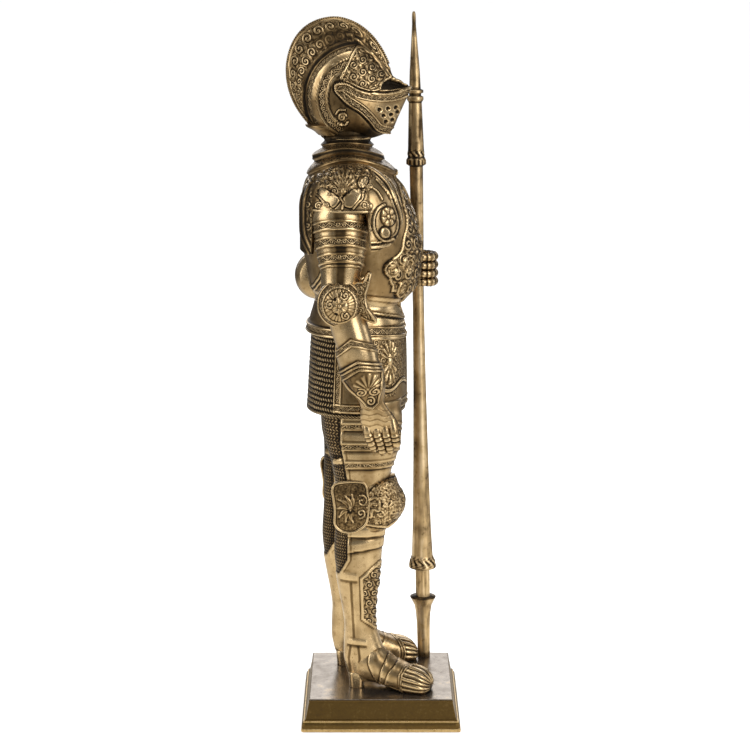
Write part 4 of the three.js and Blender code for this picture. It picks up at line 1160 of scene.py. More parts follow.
@dataclass
class Pauldron:
    """A shoulder plate: a dome with a wing before and behind the arm, carved with leaves."""

    side: Side
    rows: int
    sides: int
    centre: tuple[float, float, float] = (6.3, -4.2, 73.5)
    reach: tuple[float, float, float] = (8.3, 7.75, 5.9)
    lining: tuple = ((0.985, -0.06), (0.95, -0.02), (0.93, 0.2), (0.9, 3.0), (0.5, 4.5), (0.1, 4.8))
    hem: tuple = (
        (-180, 72.9), (-84, 72.9), (-76, 67.3), (-60, 66.9), (-48, 67.1), (-45, 73.2), (17.5, 73.2),
        (20, 67.7), (27, 67.7), (41, 68.3), (58, 69.5), (68, 71.4), (76, 72.9), (180, 72.9),
    )
    leafy: tuple = (
        (-8.74, 79.97), (-4.17, 80.8), (-1.35, 79.56), (-0.95, 78.32), (-2.56, 77.5), (-3.37, 75.85),
        (-4.17, 75.85), (-5.25, 75.16), (-6.45, 75.3), (-7.53, 75.57), (-8.33, 76.67), (-9.0, 77.4),
        (-10.2, 77.6), (-9.9, 78.6),
    )
    petals: tuple = (
        ((-8.74, 76.26), (-8.2, 76.53), (-6.32, 75.3), (-5.92, 74.61), (-6.99, 73.6), (-8.74, 75.16)),
        ((-5.25, 75.16), (-3.37, 76.4), (-2.7, 75.57), (-3.37, 74.2), (-4.17, 73.6), (-5.25, 73.92)),
        ((-3.1, 78.05), (-2.03, 78.18), (-1.89, 77.5), (-2.56, 76.53), (-3.23, 76.95)),
    )
    ribs: tuple = (
        ((-2.56, 75.95), (-2.75, 74.85), (-3.9, 73.5)), ((-9.1, 75.6), (-8.2, 74.6), (-7.1, 73.5)),
        ((-2.0, 76.1), (-1.5, 76.6), (-0.6, 76.1), (0.15, 74.9)),
        ((-5.8, 75.0), (-5.4, 74.3), (-5.5, 73.4)), ((-0.68, 77.91), (0.66, 76.4), (1.33, 75.16)),
    )
    curls: tuple = (
        ((-8.85, 74.0), 0.55, 0.1, 1.5), ((-2.35, 74.0), 0.6, 0.5, -1.5),
        ((-1.55, 76.75), 0.45, 0.6, -1.4), ((-7.6, 73.95), 0.4, 0.5, -1.4),
        ((-1.75, 73.9), 0.4, 0.9, 1.4), ((-1.7, 70.6), 0.38, 0.2, 1.5),
    )
    scroll: tuple = (
        (0.5, 74.2), (-0.45, 73.5), (-0.95, 72.5), (-1.1, 71.35), (-0.84, 70.2), (-0.15, 69.3),
        (0.8, 68.95), (1.75, 69.4),
    )
    rear_edge: tuple = ((-9.6, 78.6), (-10.7, 76.4), (-11.1, 73.5), (-10.9, 70), (-9.8, 67.4))
    edge: tuple = (
        (-6.5, 81.0), (-4.17, 80.8), (-2.03, 80.11), (-0.01, 78.6), (1.33, 76.81), (2.27, 74.47),
        (2.94, 72.41), (2.81, 70.34), (1.73, 68.95), (0.12, 68.2), (-2.03, 67.95),
    )

    def rings(self) -> Array:
        """Works out the dome's rings, from its crown to its uneven hem and a little way up inside.

        Returns:
            The rings.
        """
        turn = signed(angles(self.sides, 0.45))
        degrees = np.degrees(turn)
        low = np.interp(degrees, *np.array(self.hem).T)
        draw = np.interp(degrees, [-92, -76, 68, 84], [0.72, 1, 1, 0.72])
        over = math.pi / 4 * (self.reach[0] + self.reach[2])
        rings = []
        for t in np.linspace(0.006, 1, self.rows):
            run = t * (over + self.centre[2] - low)
            bend = np.minimum(run / over, 1) * math.pi / 2
            drop = np.maximum(run - over, 0)
            heights = self.centre[2] + self.reach[2] * np.cos(bend) - drop
            rings.append(self.ring(turn, np.sin(bend) * draw, heights))
        for shrink, up in self.lining:
            rings.append(self.ring(turn, draw * shrink, np.minimum(low + up, self.centre[2] + up)))
        return np.array(rings)

    def ring(self, turn: Array, part: Array, heights: Array) -> Array:
        """Places one ring at a part of the dome's reach.

        Args:
            turn: Angles of its points.
            part: Part of the reach.
            heights: Heights of its points.

        Returns:
            The ring.
        """
        x = self.centre[0] + self.reach[0] * part * np.cos(turn)
        f = self.centre[1] + self.reach[1] * part * np.sin(turn)
        return np.stack([self.side.value * x, f, heights], axis=1)

    def carved(self) -> Skin:
        """Raises the leaves, petals, ribs and rolled edges, and the scroll round a flower and a boss.

        Returns:
            Its skin.
        """
        skin = Skin(self.rings(), 0.82)
        f, z = skin.f, drawn(skin, 12.4)
        outer = rise(np.abs(skin.x) - 5.2, 0.3)
        leafy = rise(inside(self.leafy, f, z), 0.2)
        skin.panel(leafy, f + 0.3 * z, z, 1.3, 1.5)
        crown = oval((-5.4, 77.9), (1.3, 2.4), f, z)
        fan = palmette((f + 5.4) / 2.6, (z - 76.0) / 3.4, 9) * rise(crown + 1.0, 0.3)
        skin.lift(fan, 1.3)
        skin.bare(rise(fan - 0.3, 0.2) * 0.8)
        skin.paint(rise(fan - 0.3, 0.2), 0.92)
        for petal in self.petals:
            depth = inside(petal, f, z, 4)
            skin.bare(rise(depth + 0.3))
            skin.lift(rise(depth, 0.35), 1.1)
            skin.paint(rise(depth, 0.08), 1.0)
            skin.groove(depth + 0.12, 0.13, 0.6)
        for rib in self.ribs:
            skin.ridge(off_line(rib, f, z, 5), 0.16, 0.8)
        for curl in self.curls:
            skin.ridge(off_curl(curl, f, z), 0.12, 0.7)
        off = off_line(self.edge, f, z)
        skin.ridge(off, 0.24, 0.9, outer)
        skin.ridge(off + 0.62, 0.12, 0.5, outer)
        skin.ridge(off - 0.55, 0.12, 0.5, outer * rise(z - 69, 0.3))
        skin.ridge(off_line(self.scroll, f, z, 5), 0.2, 0.9)
        flower = oval((0.97, 72.5), (1.2, 1.55), f, z)
        skin.paint(rise(flower), 0.2)
        petals = rosette((f - 0.97) / 1.1, (z - 72.5) / 1.45, 7)
        skin.cover(petals, 1.3, 0.94)
        boss = oval((0.55, 70.15), (0.72, 0.78), f, z)
        skin.lift(rise(boss, 0.3), 0.9)
        skin.groove(boss + 0.12, 0.13, 0.6)
        behind = off_line(self.rear_edge, f, z)
        skin.ridge(behind, 0.2, 0.8, outer)
        skin.ridge(behind + 0.6, 0.13, 0.5, outer)
        skin.panel(rise(behind - 0.4) * rise(-9.9 - f) * rise(78 - z, 0.2), f, z, 1.5, 0.9)
        rim = skin.z - 73.3
        arm_side = rise(f + 10.4) * rise(-1.3 - f) * rise(np.abs(skin.x) - 7, 0.3)
        skin.ridge(rim - 0.12, 0.2, 0.8, arm_side)
        # Painted shade along the plate's back edge.
        skin.paint(rise(-9.3 - f, 1.0) * 0.7, 0.09)
        # Painted dark reflection: a dark stripe down the crown's middle on the side that faces the camera.
        skin.paint(within(f + 5.6, 1.1, 0.9) * rise(z - 78.3, 1.5) * 0.6, 0.06)
        return skin

    def build(self, material: Material) -> Thing:
        """Builds the shoulder plate."""
        return cast(f"pauldron_{self.side.name.lower()}", (self.carved(),), material)


@dataclass
class Arm:
    """One arm: its lames, the elbow's couter with a wing, the gauntlet and its fingers."""

    side: Side
    upper: tuple
    elbow: tuple[float, float, float]
    wing: tuple
    wing_centre: tuple[float, float]
    forearm: tuple
    fingers: tuple
    cuffs: Callable[[Skin], None]
    sides: int = 116
    bare_knuckle: float = 0.3
    couter_size: tuple[float, float] = (3.0, 3.4)
    couter_wrap: float = 0.72
    arch: float = 0.36
    bands: tuple = (70.4, 68.05, 65.75)
    ribs: tuple = (64.95, 64.6)

    def upper_skin(self) -> Skin:
        """Shapes the upper arm, with three ornamented bands between plain lames.

        Returns:
            Its skin.
        """
        route = [(self.side.value * x, f, z, r, 0.93) for x, f, z, r in self.upper]
        skin = Skin(tube_rings(route, 130, self.sides, (self.side.value, 0, 0), 0.4), 0.95)
        run = skin.shaped(angles(self.sides, 0.4) * 3.2)
        level = skin.z - self.arch * (np.abs(skin.x) - 11)
        for height in self.bands:
            skin.lift(rise(level - height + 0.75) * rise(height + 2.0 - level, 0.7), 0.8)
            skin.border(run, level - height, 0.42, 1.0, 0.5)
        for height in self.ribs:
            skin.ridge(level - height, 0.12, 0.4)
        # Painted dark reflection: a dark stripe down the middle of the arm's outer side, between its two
        # highlights.
        middle = skin.shaped(signed(angles(self.sides, 0.4)))
        skin.paint(within(middle, 0.2, 0.07) * 0.85, 0.27)
        return skin

    def couter(self) -> Skin:
        """Shapes the elbow's round cap: flutes and a flower inside an ornamented rim.

        Returns:
            Its skin.
        """
        x, f, z = self.elbow
        deep, radius = self.couter_size
        bend = np.linspace(0.03, math.pi * self.couter_wrap, 76)[:, None]
        turn = angles(self.sides)[None, :]
        rings = np.stack([
            self.side.value * (x + deep * np.cos(bend) + 0 * turn),
            f + radius * np.sin(bend) * np.cos(turn), z + radius * 1.07 * np.sin(bend) * np.sin(turn),
        ], axis=-1)
        skin = Skin(rings, 0.86)
        reach = skin.shaped(radius * np.sin(bend) * np.where(np.cos(bend) > 0, 1, 1.2))
        around = skin.shaped(turn)
        across, up = reach * np.cos(around), reach * np.sin(around)
        face = rise(radius - 0.75 - reach, 0.05)
        skin.panel(face * 0.12, across + 0.5, up + 0.4, 1.7, 0.4)
        skin.paint(face, 0.82)
        strokes = within(np.sin(around * 13), 0.3, 0.15) * rise(reach - 1.1, 0.3) * face
        skin.lift(strokes, -0.4)
        skin.paint(strokes * 0.55, 0.25)
        petals = rosette(across / 1.25, up / 1.25, 6)
        skin.lift(petals, 0.9)
        skin.paint(rise(0.25 - petals, 0.15) * rise(1.25 - reach, 0.2) * 0.8, 0.15)
        for middle, start in (((0.75, 1.35), 0.4), ((0.9, -1.3), 2.4), ((-1.35, 0.1), 1.2)):
            skin.ridge(off_curl((middle, 0.6, start, 1.3), across, up), 0.12, 0.7, face)
        for pit_turn, pit_reach in ((2.2, 1.1), (4.3, 1.2)):
            pit = np.hypot(across - pit_reach * math.cos(pit_turn), up - pit_reach * math.sin(pit_turn))
            skin.cover(rise(0.24 - pit), -0.9, 0.03)
        front = np.cos(bend) > 0
        off = reach - radius + 0.42
        skin.border(around * radius, off, 0.29, within(off, 0.6, 0.05) * front, 0.7)
        return skin

    def wing_skin(self) -> Skin:
        """Shapes the couter's wing, carved with foliage inside a raised edge.

        Returns:
            Its skin.
        """
        x = self.elbow[0]
        rings = pillow_rings(self.wing, self.wing_centre, x - 0.6, 1.5, 48, self.sides, self.side)
        skin = Skin(rings, 0.8)
        depth = inside(self.wing, skin.f, skin.z, 5)
        skin.panel(rise(depth - 0.3, 0.06) * 0.8, skin.f + 0.5, skin.z, 1.25, 0.5)
        skin.ridge(depth - 0.14, 0.15, 0.6)
        return skin

    def forearm_skin(self) -> Skin:
        """Shapes the forearm and the gauntlet, whose two cuffs rise to points on the outer side.

        Returns:
            Its skin.
        """
        route = [(self.side.value * p[0], *p[1:]) for p in self.forearm]
        skin = Skin(tube_rings(route, 200, self.sides, (self.side.value, 0, 0), 0.4), 0.88)
        self.cuffs(skin)
        return skin

    def digits(self) -> list[Skin]:
        """Shapes the fingers, with lames across them.

        Returns:
            Their skins.
        """
        skins = []
        for route in self.fingers:
            placed = [(self.side.value * p[0], *p[1:]) for p in route]
            rings = tube_rings([list(p) for p in rounded(placed, 5)], 44, 22)
            skin = Skin(rings, 0.85)
            run = skin.shaped(run_of(rings.mean(axis=1))[:, None])
            rings_at = np.mod(run * 1.5, 1.0)
            lames = rise(run - self.bare_knuckle, 0.3) * rise(run.max() - 0.4 - run, 0.2)
            skin.lift(rings_at * lames, 0.45)
            skin.paint(rise(0.22 - rings_at, 0.12) * lames * 0.9, 0.12)
            skin.paint(skin.shaped(rise(np.abs(np.sin(angles(22))) - 0.86)) * 0.9, 0.08)
            skins.append(skin)
        return skins

    def build(self, material: Material) -> Thing:
        """Builds the arm."""
        skins = (self.upper_skin(), self.couter(), self.wing_skin(), self.forearm_skin(), *self.digits())
        return cast(f"arm_{self.side.name.lower()}", skins, material)


def hanging_gauntlet(skin: Skin) -> None:
    """Raises the right gauntlet's pointed cuffs, its back plate's panel and its wrist's lames.

    Args:
        skin: The forearm's skin.
    """
    f, z = skin.f, drawn(skin, 14.5)
    first = along([(-9.5, 50.0), (-6.76, 53.22), (-4.34, 55.18), (-0.27, 54.13), (2.5, 52.4)], f, z)[1]
    second = along([(-9.0, 47.6), (-5.89, 50.63), (-3.45, 52.19), (-0.15, 51.66), (2.5, 50.4)], f, z)[1]
    run = f * 1.2
    wrist = rise(z - 47.2, 1.4)
    below = rise(-first, 0.06) * wrist
    skin.lift(below, 2.0)
    skin.border(run, first + 0.42, 0.26, rise(-first, 0.06) * rise(second - 0.1, 0.06), 0.65)
    skin.lift(rise(-second, 0.06) * wrist, 1.2)
    skin.ridge(second + 0.22, 0.16, 0.7, rise(z - 48.5, 0.5))
    skin.ridge(second + 0.72, 0.14, 0.5, rise(z - 48.5, 0.5))
    plate = [(-5.05, 49.6), (-3.2, 51.0), (-0.46, 50.6), (-0.4, 45.9), (-1.25, 45.0), (-2.15, 45.4)]
    depth = inside(plate, f, z)
    outer = rise(np.abs(skin.x) - 12.2, 0.2)
    skin.lift(rise(depth + 0.25) * outer, 0.5)
    fan = palmette((f + 1.95) / 2.4, (z - 48.1) / 2.3, 7)
    skin.carve(rise(depth - 0.2, 0.06) * outer, fan, 0.5, 0.62)
    skin.ridge(depth - 0.06, 0.12, 0.5, outer)
    for centre, turn in (((-2.75, 47.6), -1.5), ((-1.1, 47.7), 1.5), ((-1.55, 46.2), -1.3)):
        skin.ridge(off_curl((centre, 0.7, 0.3, turn), f, z), 0.12, 0.5, outer)
    lames = rise(45.0 - z, 0.2) * rise(z - 42.0, 0.3)
    wave = np.mod((z + 0.14 * np.sin(f * 3.0) + 0.1 * np.sin(f * 1.3)) / 0.8, 1)
    skin.lift(wave * lames, 0.13)
    skin.paint(rise(0.2 - wave) * lames * 0.4, 0.25)


def raised_gauntlet(skin: Skin) -> None:
    """Raises the left gauntlet's two cuffs across the forearm and the lames at its wrist.

    Args:
        skin: The forearm's skin.
    """
    rows = skin.z.shape[0]
    run = skin.shaped(np.linspace(-0.05, 1.12, rows)[:, None])
    around = skin.shaped(np.arange(skin.z.shape[1]) * 17.0 / skin.z.shape[1])
    for place, step in ((0.4, 2.0), (0.66, 1.2)):
        skin.lift(rise(run - place, 0.006) * rise(0.98 - run, 0.08), step)
        skin.border(around, (run - place - 0.035) * 16, 0.3, 1.0, 0.6)
    skin.panel(between(run, 0.72, 0.9, 0.01) * 0.9, around, run * 16, 1.4, 0.6)
    skin.groove(np.mod(run * 16, 0.8) - 0.4, 0.15, 0.6, rise(run - 0.93, 0.02))


def right_arm() -> Arm:
    """Describes the right arm, which hangs with its gauntlet over the tasset.

    Returns:
        The arm.
    """
    hand = []
    for knuckle, tip, low in ((-1.93, -1.05, 37.9), (-0.62, 0.2, 37.4), (0.68, 1.3, 37.6), (1.9, 2.25, 38.7)):
        hand.append([
            (11.75, knuckle - 0.35, 43.0, 0.5), (11.95, knuckle - 0.1, 41.6, 0.64),
            (11.9, knuckle + 0.05, 40.7, 0.66), (11.7, (knuckle + tip) / 2 + 0.1, 39.3, 0.61),
            (11.45, tip, low + 0.5, 0.5), (11.4, tip + 0.05, low, 0.26),
        ])
    thumb = ((11, 0.9, 43.4, 0.7), (10.6, 1.9, 41.8, 0.62), (10.5, 2.3, 40.3, 0.5), (10.5, 2.3, 39.6, 0.3))
    return Arm(
        side=Side.RIGHT,
        upper=((9.0, -5.95, 75.5, 3.2), (9.8, -5.95, 74.3, 3.8), (10.4, -5.95, 73.2, 4.0),
               (11.1, -5.8, 70.4, 3.75), (11.6, -5.7, 66, 3.15), (11.9, -5.85, 63, 2.75),
               (12.1, -5.9, 60.5, 2.65)),
        elbow=(13.4, -5.9, 60.2),
        couter_size=(2.5, 3.2),
        wing=((-3.6, 63.2), (-2.6, 63.4), (-1.95, 64.6), (-1.4, 64.5), (-1.75, 62.9), (-2.15, 61.4),
              (-1.85, 59.6), (-0.6, 57.6), (-1.4, 57.4), (-3.2, 58.3), (-4.2, 58.8), (-4.4, 62.2)),
        wing_centre=(-3.2, 60.9),
        forearm=((12.2, -5.6, 60.2, 2.7), (12.3, -4.4, 56, 2.65), (12.3, -3.8, 54, 2.6),
                 (12.3, -3.2, 51.4, 2.5, 0.95),
                 (12.2, -2.5, 49.2, 2.2, 0.92), (12.1, -1.9, 47.4, 1.95, 0.86), (12, -1.35, 45.5, 1.75, 0.8),
                 (11.85, -0.9, 43.6, 2.2, 0.56), (11.7, -0.4, 42.0, 2.4, 0.4),
                 (11.65, -0.1, 40.9, 2.2, 0.24)),
        fingers=(*hand, thumb),
        cuffs=hanging_gauntlet,
        bare_knuckle=2.2,
    )


def left_arm() -> Arm:
    """Describes the left arm, which is bent so that its fist closes round the lance.

    Returns:
        The arm.
    """
    x, f = lance_axis(61.9)
    hand = []
    for i in range(4):
        z = 61.9 + (1.5 - i) * 1.27
        finger = []
        for k in range(5):
            t, tip = -0.5 + k / 4 * 3.85, k == 4
            ahead = f + 0.3 + 1.9 * math.sin(t) * (0.9 if tip else 1.15)
            finger.append((x + 1.9 * math.cos(t) * 1.1, ahead, z, 0.42 if tip else 0.6))
        hand.append(finger)
    thumb = ((x + 1.2, f - 1.7, 63.5, 0.75), (x, f - 1.9, 64.2, 0.7), (x - 1.2, f - 1.2, 64.4, 0.62),
             (x - 1.55, f - 0.2, 64.3, 0.35))
    palm = ((x + 1.55, f - 3.6, 61.7, 1.7, 0.7), (x + 1.6, f - 1.8, 61.9, 2.4, 0.5),
            (x + 1.6, f, 61.9, 2.5, 0.42), (x + 1.45, f + 1.1, 61.9, 2.3, 0.4))
    start, end = np.array([12.5, -9.75, 60.25]), np.array([x + 1.55, f - 3.2, 61.6])
    route = [(*(start + (end - start) * t), r, flat) for t, r, flat in
             ((-0.05, 2.6, 1), (0.25, 2.6, 1), (0.4, 2.55, 1), (0.6, 2.4, 0.95), (0.8, 2.0, 0.88),
              (0.95, 1.75, 0.75), (1.12, 1.85, 0.6))]
    return Arm(
        side=Side.LEFT,
        upper=((11, -5.7, 75.5, 3.45), (11, -5.7, 74.5, 3.5), (11.6, -7.4, 66, 3.15),
               (12.1, -9.3, 60.5, 2.65)),
        elbow=(12.3, -9.75, 60.2),
        wing=((-8.2, 63.2), (-6.6, 64.2), (-5.6, 64.6), (-5.7, 63.2), (-6.3, 61.5), (-6.3, 60), (-5.6, 58.3),
              (-5.4, 57.2), (-6.6, 57), (-8.4, 57.8), (-9, 60)),
        wing_centre=(-7.4, 60.7),
        forearm=tuple(route),
        fingers=(*hand, thumb, palm),
        cuffs=raised_gauntlet,
        sides=80,
    )


@dataclass
class Leg:
    """One leg: mail behind, cuisse and lames, knee with its wing, greave and a pointed sabaton."""

    side: Side
    stride: float
    rows: int
    sides: int
    form: tuple = (
        (44.5, -9.2, 3, 4.4, 4.4), (41, -8.8, 3, 4.35, 4.45), (38, -8.4, 2.8, 4.2, 4.6),
        (35.6, -7.75, 2.1, 4, 4.7), (33.2, -7.25, 1.5, 3.75, 4.75), (31, -6.9, 1.3, 3.45, 4.8),
        (28.5, -6.8, 1.5, 3.3, 4.8), (25, -6.95, 0.65, 3.2, 4.85), (21.5, -7.15, 0.2, 3.15, 4.9),
        (17.4, -6.75, -0.05, 2.95, 4.95), (14.5, -6.25, -0.4, 2.65, 5), (11.7, -5.75, -0.69, 2.4, 5),
        (9.4, -5.5, -0.62, 2.25, 5), (7.06, -5.6, 0.0, 2.3, 5), (5, -5.62, 0.7, 2.25, 5.05),
        (3, -5.3, 0.6, 2.05, 5.05), (1.6, -4.85, 0.2, 1.9, 5.05), (1.0, -4.6, -0.2, 1.6, 5.05),
    )
    mail_edge: tuple = (
        (15, -8), (20.5, -5.0), (24.2, -4.95), (33.1, -5.1), (36, -5.5), (38.5, -6.0), (45, -5.8),
    )
    cap: tuple = (
        (24.5, -3.2, 0.5, 2.6), (24.9, -3.5, 1.1, 3.2), (26.4, -4.4, 2.7, 3.75), (28.8, -4.9, 3.55, 4),
        (31.2, -4.2, 2.7, 3.9), (32.8, -3.4, 2, 3.75), (33.2, -3.2, 1.4, 3.2),
    )
    wing: tuple = (
        (-7.35, 31.4), (-6.9, 32.4), (-5.5, 32.75), (-2.85, 32.75), (-2.0, 32.0), (-1.8, 30.7),
        (-1.55, 29.4), (-1.75, 27.4), (-2.2, 26.0), (-3.85, 24.85), (-5.8, 24.95), (-6.95, 26.1),
        (-6.95, 28.4), (-7.15, 29.95),
    )
    wing_leaves: tuple = (
        (-6.3, 30.0), (-6.5, 28.6), (-6.2, 27.3), (-5.2, 26.6), (-5.3, 30.6), (-4.3, 30.8), (-4.1, 26.5),
    )
    leaf_least: float = 0.12
    splay_deg: float = 15.0
    top_rim: tuple = ((-2.6, 31.2), (-1.75, 31.66), (-0.4, 32.8), (0.84, 33.39), (2.6, 33.75))
    low_rim: tuple = ((-2.6, 26.2), (-1.75, 26.06), (-0.4, 25.81), (1.09, 25.66), (3.05, 27.0))
    bracket: tuple = (
        (-1.75, 29.87), (-0.76, 30.25), (-0.15, 29.22), (-0.4, 28.21), (-1.14, 28.46), (-1.49, 27.2),
    )
    foot: tuple = (
        (-1.3, 0.9, 1.4, 3.9), (-1.0, 1.4, 1.1, 4.4), (0.2, 2.2, 1.0, 6.0), (2.6, 2.4, 0.7, 6.3),
        (3.7, 2.45, 0.5, 5.6), (4.7, 2.5, 0.1, 4.75), (6, 2.6, -0.2, 4.1), (7.3, 2.85, -0.4, 3.6),
        (8.6, 2.95, -0.4, 3.3), (9.6, 2.8, -0.4, 2.9), (10.3, 2.3, -0.35, 2.35), (10.75, 1.3, 0.1, 1.6),
    )
    shin: tuple = ((1.5, 20.6), (-0.29, 20.08), (-2.97, 17.66), (-2.8, 11.22), (-0.97, 9.83), (1.5, 9.6))
    instep: tuple = (
        ((-0.29, 7.52), (-1.58, 6.11), (-1.89, 4.0), (-1.03, 1.89)),
        ((1.12, 5.47), (0.11, 3.37), (-0.29, 1.26)), ((2.44, 4.32), (1.12, 2.74), (0.55, 0.97)),
    )

    def carved(self) -> Skin:
        """Raises the cuisse's bands, the greave's panel, hinges and seam, and the mail behind.

        Returns:
            Its skin.
        """
        rings = level_rings(self.form, np.linspace(1, 44.5, self.rows), self.sides, 0.35, 2.15)
        skin = Skin(self.placed(rings), 0.9)
        around = skin.shaped((math.pi / 2 - angles(self.sides, 0.35)) * 3.5)
        f, z = skin.f - self.shift(skin.z), drawn(skin, 8.0)
        mail_edge = np.interp(skin.z, *np.array(self.mail_edge).T)
        tip = 17.9 + 0.55 * np.abs(f + 6.6)
        mail = rise(mail_edge - f, 0.12) * rise(skin.z - tip, 0.2)
        plain = 1 - mail
        skin.lift(mail, -0.8)
        skin.mail(mail, around * 2.2, skin.z * 2.2)
        skin.ridge(f - mail_edge - 0.2, 0.14, 0.3, rise(skin.z - 18.5, 0.3))
        for height, sag in ((40.95, 0.0), (37.9, 0.0), (35.1, 0.03)):
            level = z - height - sag * np.maximum(f + 2, 0) ** 2
            skin.lift(rise(level + 0.55, 0.06) * rise(2.3 - level, 0.6) * plain, 0.8)
            skin.border(around, level, 0.36, plain, 0.4)
            skin.crease(level + 0.6, plain)
        for path in (((-6, 24.2), (-4.84, 24.08), (-2.13, 23.96), (0.23, 24.21), (1.5, 24.4)),
                     ((-6, 21.4), (-3.85, 21.77), (-2.13, 22.02), (0.23, 22.53), (1.5, 22.8))):
            level = along(path, f, z)[1]
            skin.lift(rise(level, 0.06) * rise(1.6 - level, 0.5) * plain, 0.8)
            skin.paint(within(level - 0.1, 0.14, 0.08) * plain, 0.98)
            skin.crease(level + 0.08, plain)
        strap = within(z - 35.6, 0.42) * within(f + 6.4, 0.75)
        skin.clear(strap)
        skin.cover(strap, 1.2, 0.9)
        self.carve_greave(skin, f, z)
        return skin

    def carve_greave(self, skin: Skin, f: Array, z: Array) -> None:
        """Raises the greave's two hinges and seam outside, and the leafy panel down its shin.

        Args:
            skin: The leg's skin.
            f: Place forward, its stride left out.
            z: Height.
        """
        outer = rise((skin.x * self.side.value) - 5.0, 0.3)
        garter = within(z - 17.8 + 0.12 * (f + 4.8), 0.6, 0.3) * within(f + 4.8, 1.3, 0.15) * outer
        skin.cover(garter, 0.35, 0.86)
        skin.crease(z - 17.2 + 0.12 * (f + 4.8), within(f + 4.8, 1.3) * outer)
        seam = along([(-4.5, 17.0), (-4.3, 13.16), (-4.05, 8.3)], f, z)[1]
        skin.crease(seam, rise(17.0 - z) * rise(z - 8.2) * outer)
        shin = inside(self.shin, f, z)
        skin.panel(rise(shin - 0.25, 0.08), f + 0.3, z, 1.45, 1.1)
        skin.ridge(shin - 0.1, 0.12, 0.4)
        ankle = within(z - 7.55 + 0.1 * (f + 3.6), 0.45, 0.15) * within(f + 3.6, 1.5, 0.15)
        skin.lift(ankle * outer, 0.3)
        skin.crease(z - 7.0 + 0.1 * (f + 3.6), within(f + 3.6, 1.5) * outer)
        for path in (((-4.6, 6.8), (-4.85, 5.0), (-4.6, 3.0)), ((-3.4, 6.8), (-3.2, 5.0), (-3.4, 3.2))):
            skin.crease(along(path, f, z)[1], outer)

    def placed(self, rings: Array) -> Array:
        """Sets rings made for a leg at its own side and stride.

        Args:
            rings: The rings.

        Returns:
            The rings in their place.
        """
        moved = rings.copy()
        moved[..., 0] *= self.side.value
        moved[..., 1] += self.shift(rings[..., 2])
        return moved

    def shift(self, height: Array) -> Array:
        """Gives how far the leg is moved forward: all its stride below the knee, little at the hip."""
        return self.stride * np.interp(height, [31, 36.5, 44], [1.0, 0.46, 0.15])

    def knee(self) -> Skin:
        """Shapes the knee cap, with a leaf over its middle and a rim above and below.

        Returns:
            Its skin.
        """
        rows = [(*row, 4.8) for row in self.cap]
        rings = level_rings(rows, np.linspace(24.5, 33.2, 62), self.sides)
        rings[..., 2] += np.interp(rings[..., 2], [29, 33], [0, 0.33]) * (rings[..., 1] - 2)
        skin = Skin(self.placed(rings), 0.8)
        f, z = skin.f - self.stride, drawn(skin, 8.4)
        middle = skin.x * self.side.value - 4.8
        top, low = (along(rim, f, z)[1] for rim in (self.top_rim, self.low_rim))
        ground = rise(-top - 0.2) * rise(low - 0.2)
        skin.grain = ground
        skin.panel(ground * 0.45, middle + f, skin.z, 1.5, 0.7)
        leafy = within(middle, 2.2, 0.3) * (f > -1)
        fan = palmette(middle / 2.4, (skin.z - 26.6) / 4.2, 7) * leafy * ground
        skin.lift(fan, 0.9)
        skin.paint(rise(fan - 0.3, 0.2) * 0.8, 0.92)
        skin.ridge(top, 0.13, 0.6)
        skin.ridge(low, 0.13, 0.6)
        skin.ridge(off_line(self.bracket, f, z), 0.13, 0.7, rise(np.abs(skin.x) - 7, 0.3))
        return skin

    def wing_skin(self) -> Skin:
        """Shapes the dished wing outside the knee, with leaves that spread from its hub and two scrolls.

        Returns:
            Its skin.
        """
        rings = pillow_rings(self.wing, (-4.5, 28.7), 8.15, 0.75, 58, self.sides + 24, self.side)
        rings[..., 1] += self.stride
        skin = Skin(rings, 0.8)
        f, z = skin.f - self.stride, skin.z
        depth = inside(self.wing, f, z, 5)
        skin.lift(rise(depth - 0.3, 0.4), -1.0)
        skin.grain = rise(depth - 0.35, 0.2) * 0.5
        skin.panel(rise(depth - 0.5, 0.2) * 0.2, f, z, 1.55, 0.3)
        skin.paint(rise(depth - 0.4, 0.3), 0.42)
        hub = np.array([-4.5, 28.6])
        for tip in self.wing_leaves:
            end = np.array(tip)
            bow = (hub + end) / 2 + 0.12 * np.array([end[1] - hub[1], hub[0] - end[0]])
            run, off = along(rounded([hub, bow, end], 6), f, z)
            blade = np.maximum(0.07 + 0.24 * np.sin(np.clip(run / 2.0, 0, 1) * math.pi), self.leaf_least)
            leaf = bead(off, blade)
            skin.bare(leaf)
            skin.grain *= 1 - leaf
            skin.lift(leaf, 0.8)
            skin.paint(leaf * 0.85, 0.85)
            skin.paint(within(off, 0.07, 0.04) * rise(blade - 0.15, 0.05) * 0.6, 0.3)
        skin.ridge(depth - 0.16, 0.15, 0.7)
        for curl in (((-2.8, 29.75), 0.95, 0.3, -1.1), ((-2.95, 27.9), 0.75, 0.7, 1.2)):
            skin.ridge(off_curl(curl, f, z), 0.13, 0.9)
        skin.lift(bead(np.hypot(f - hub[0], z - hub[1]), 0.35), 0.7)
        return skin

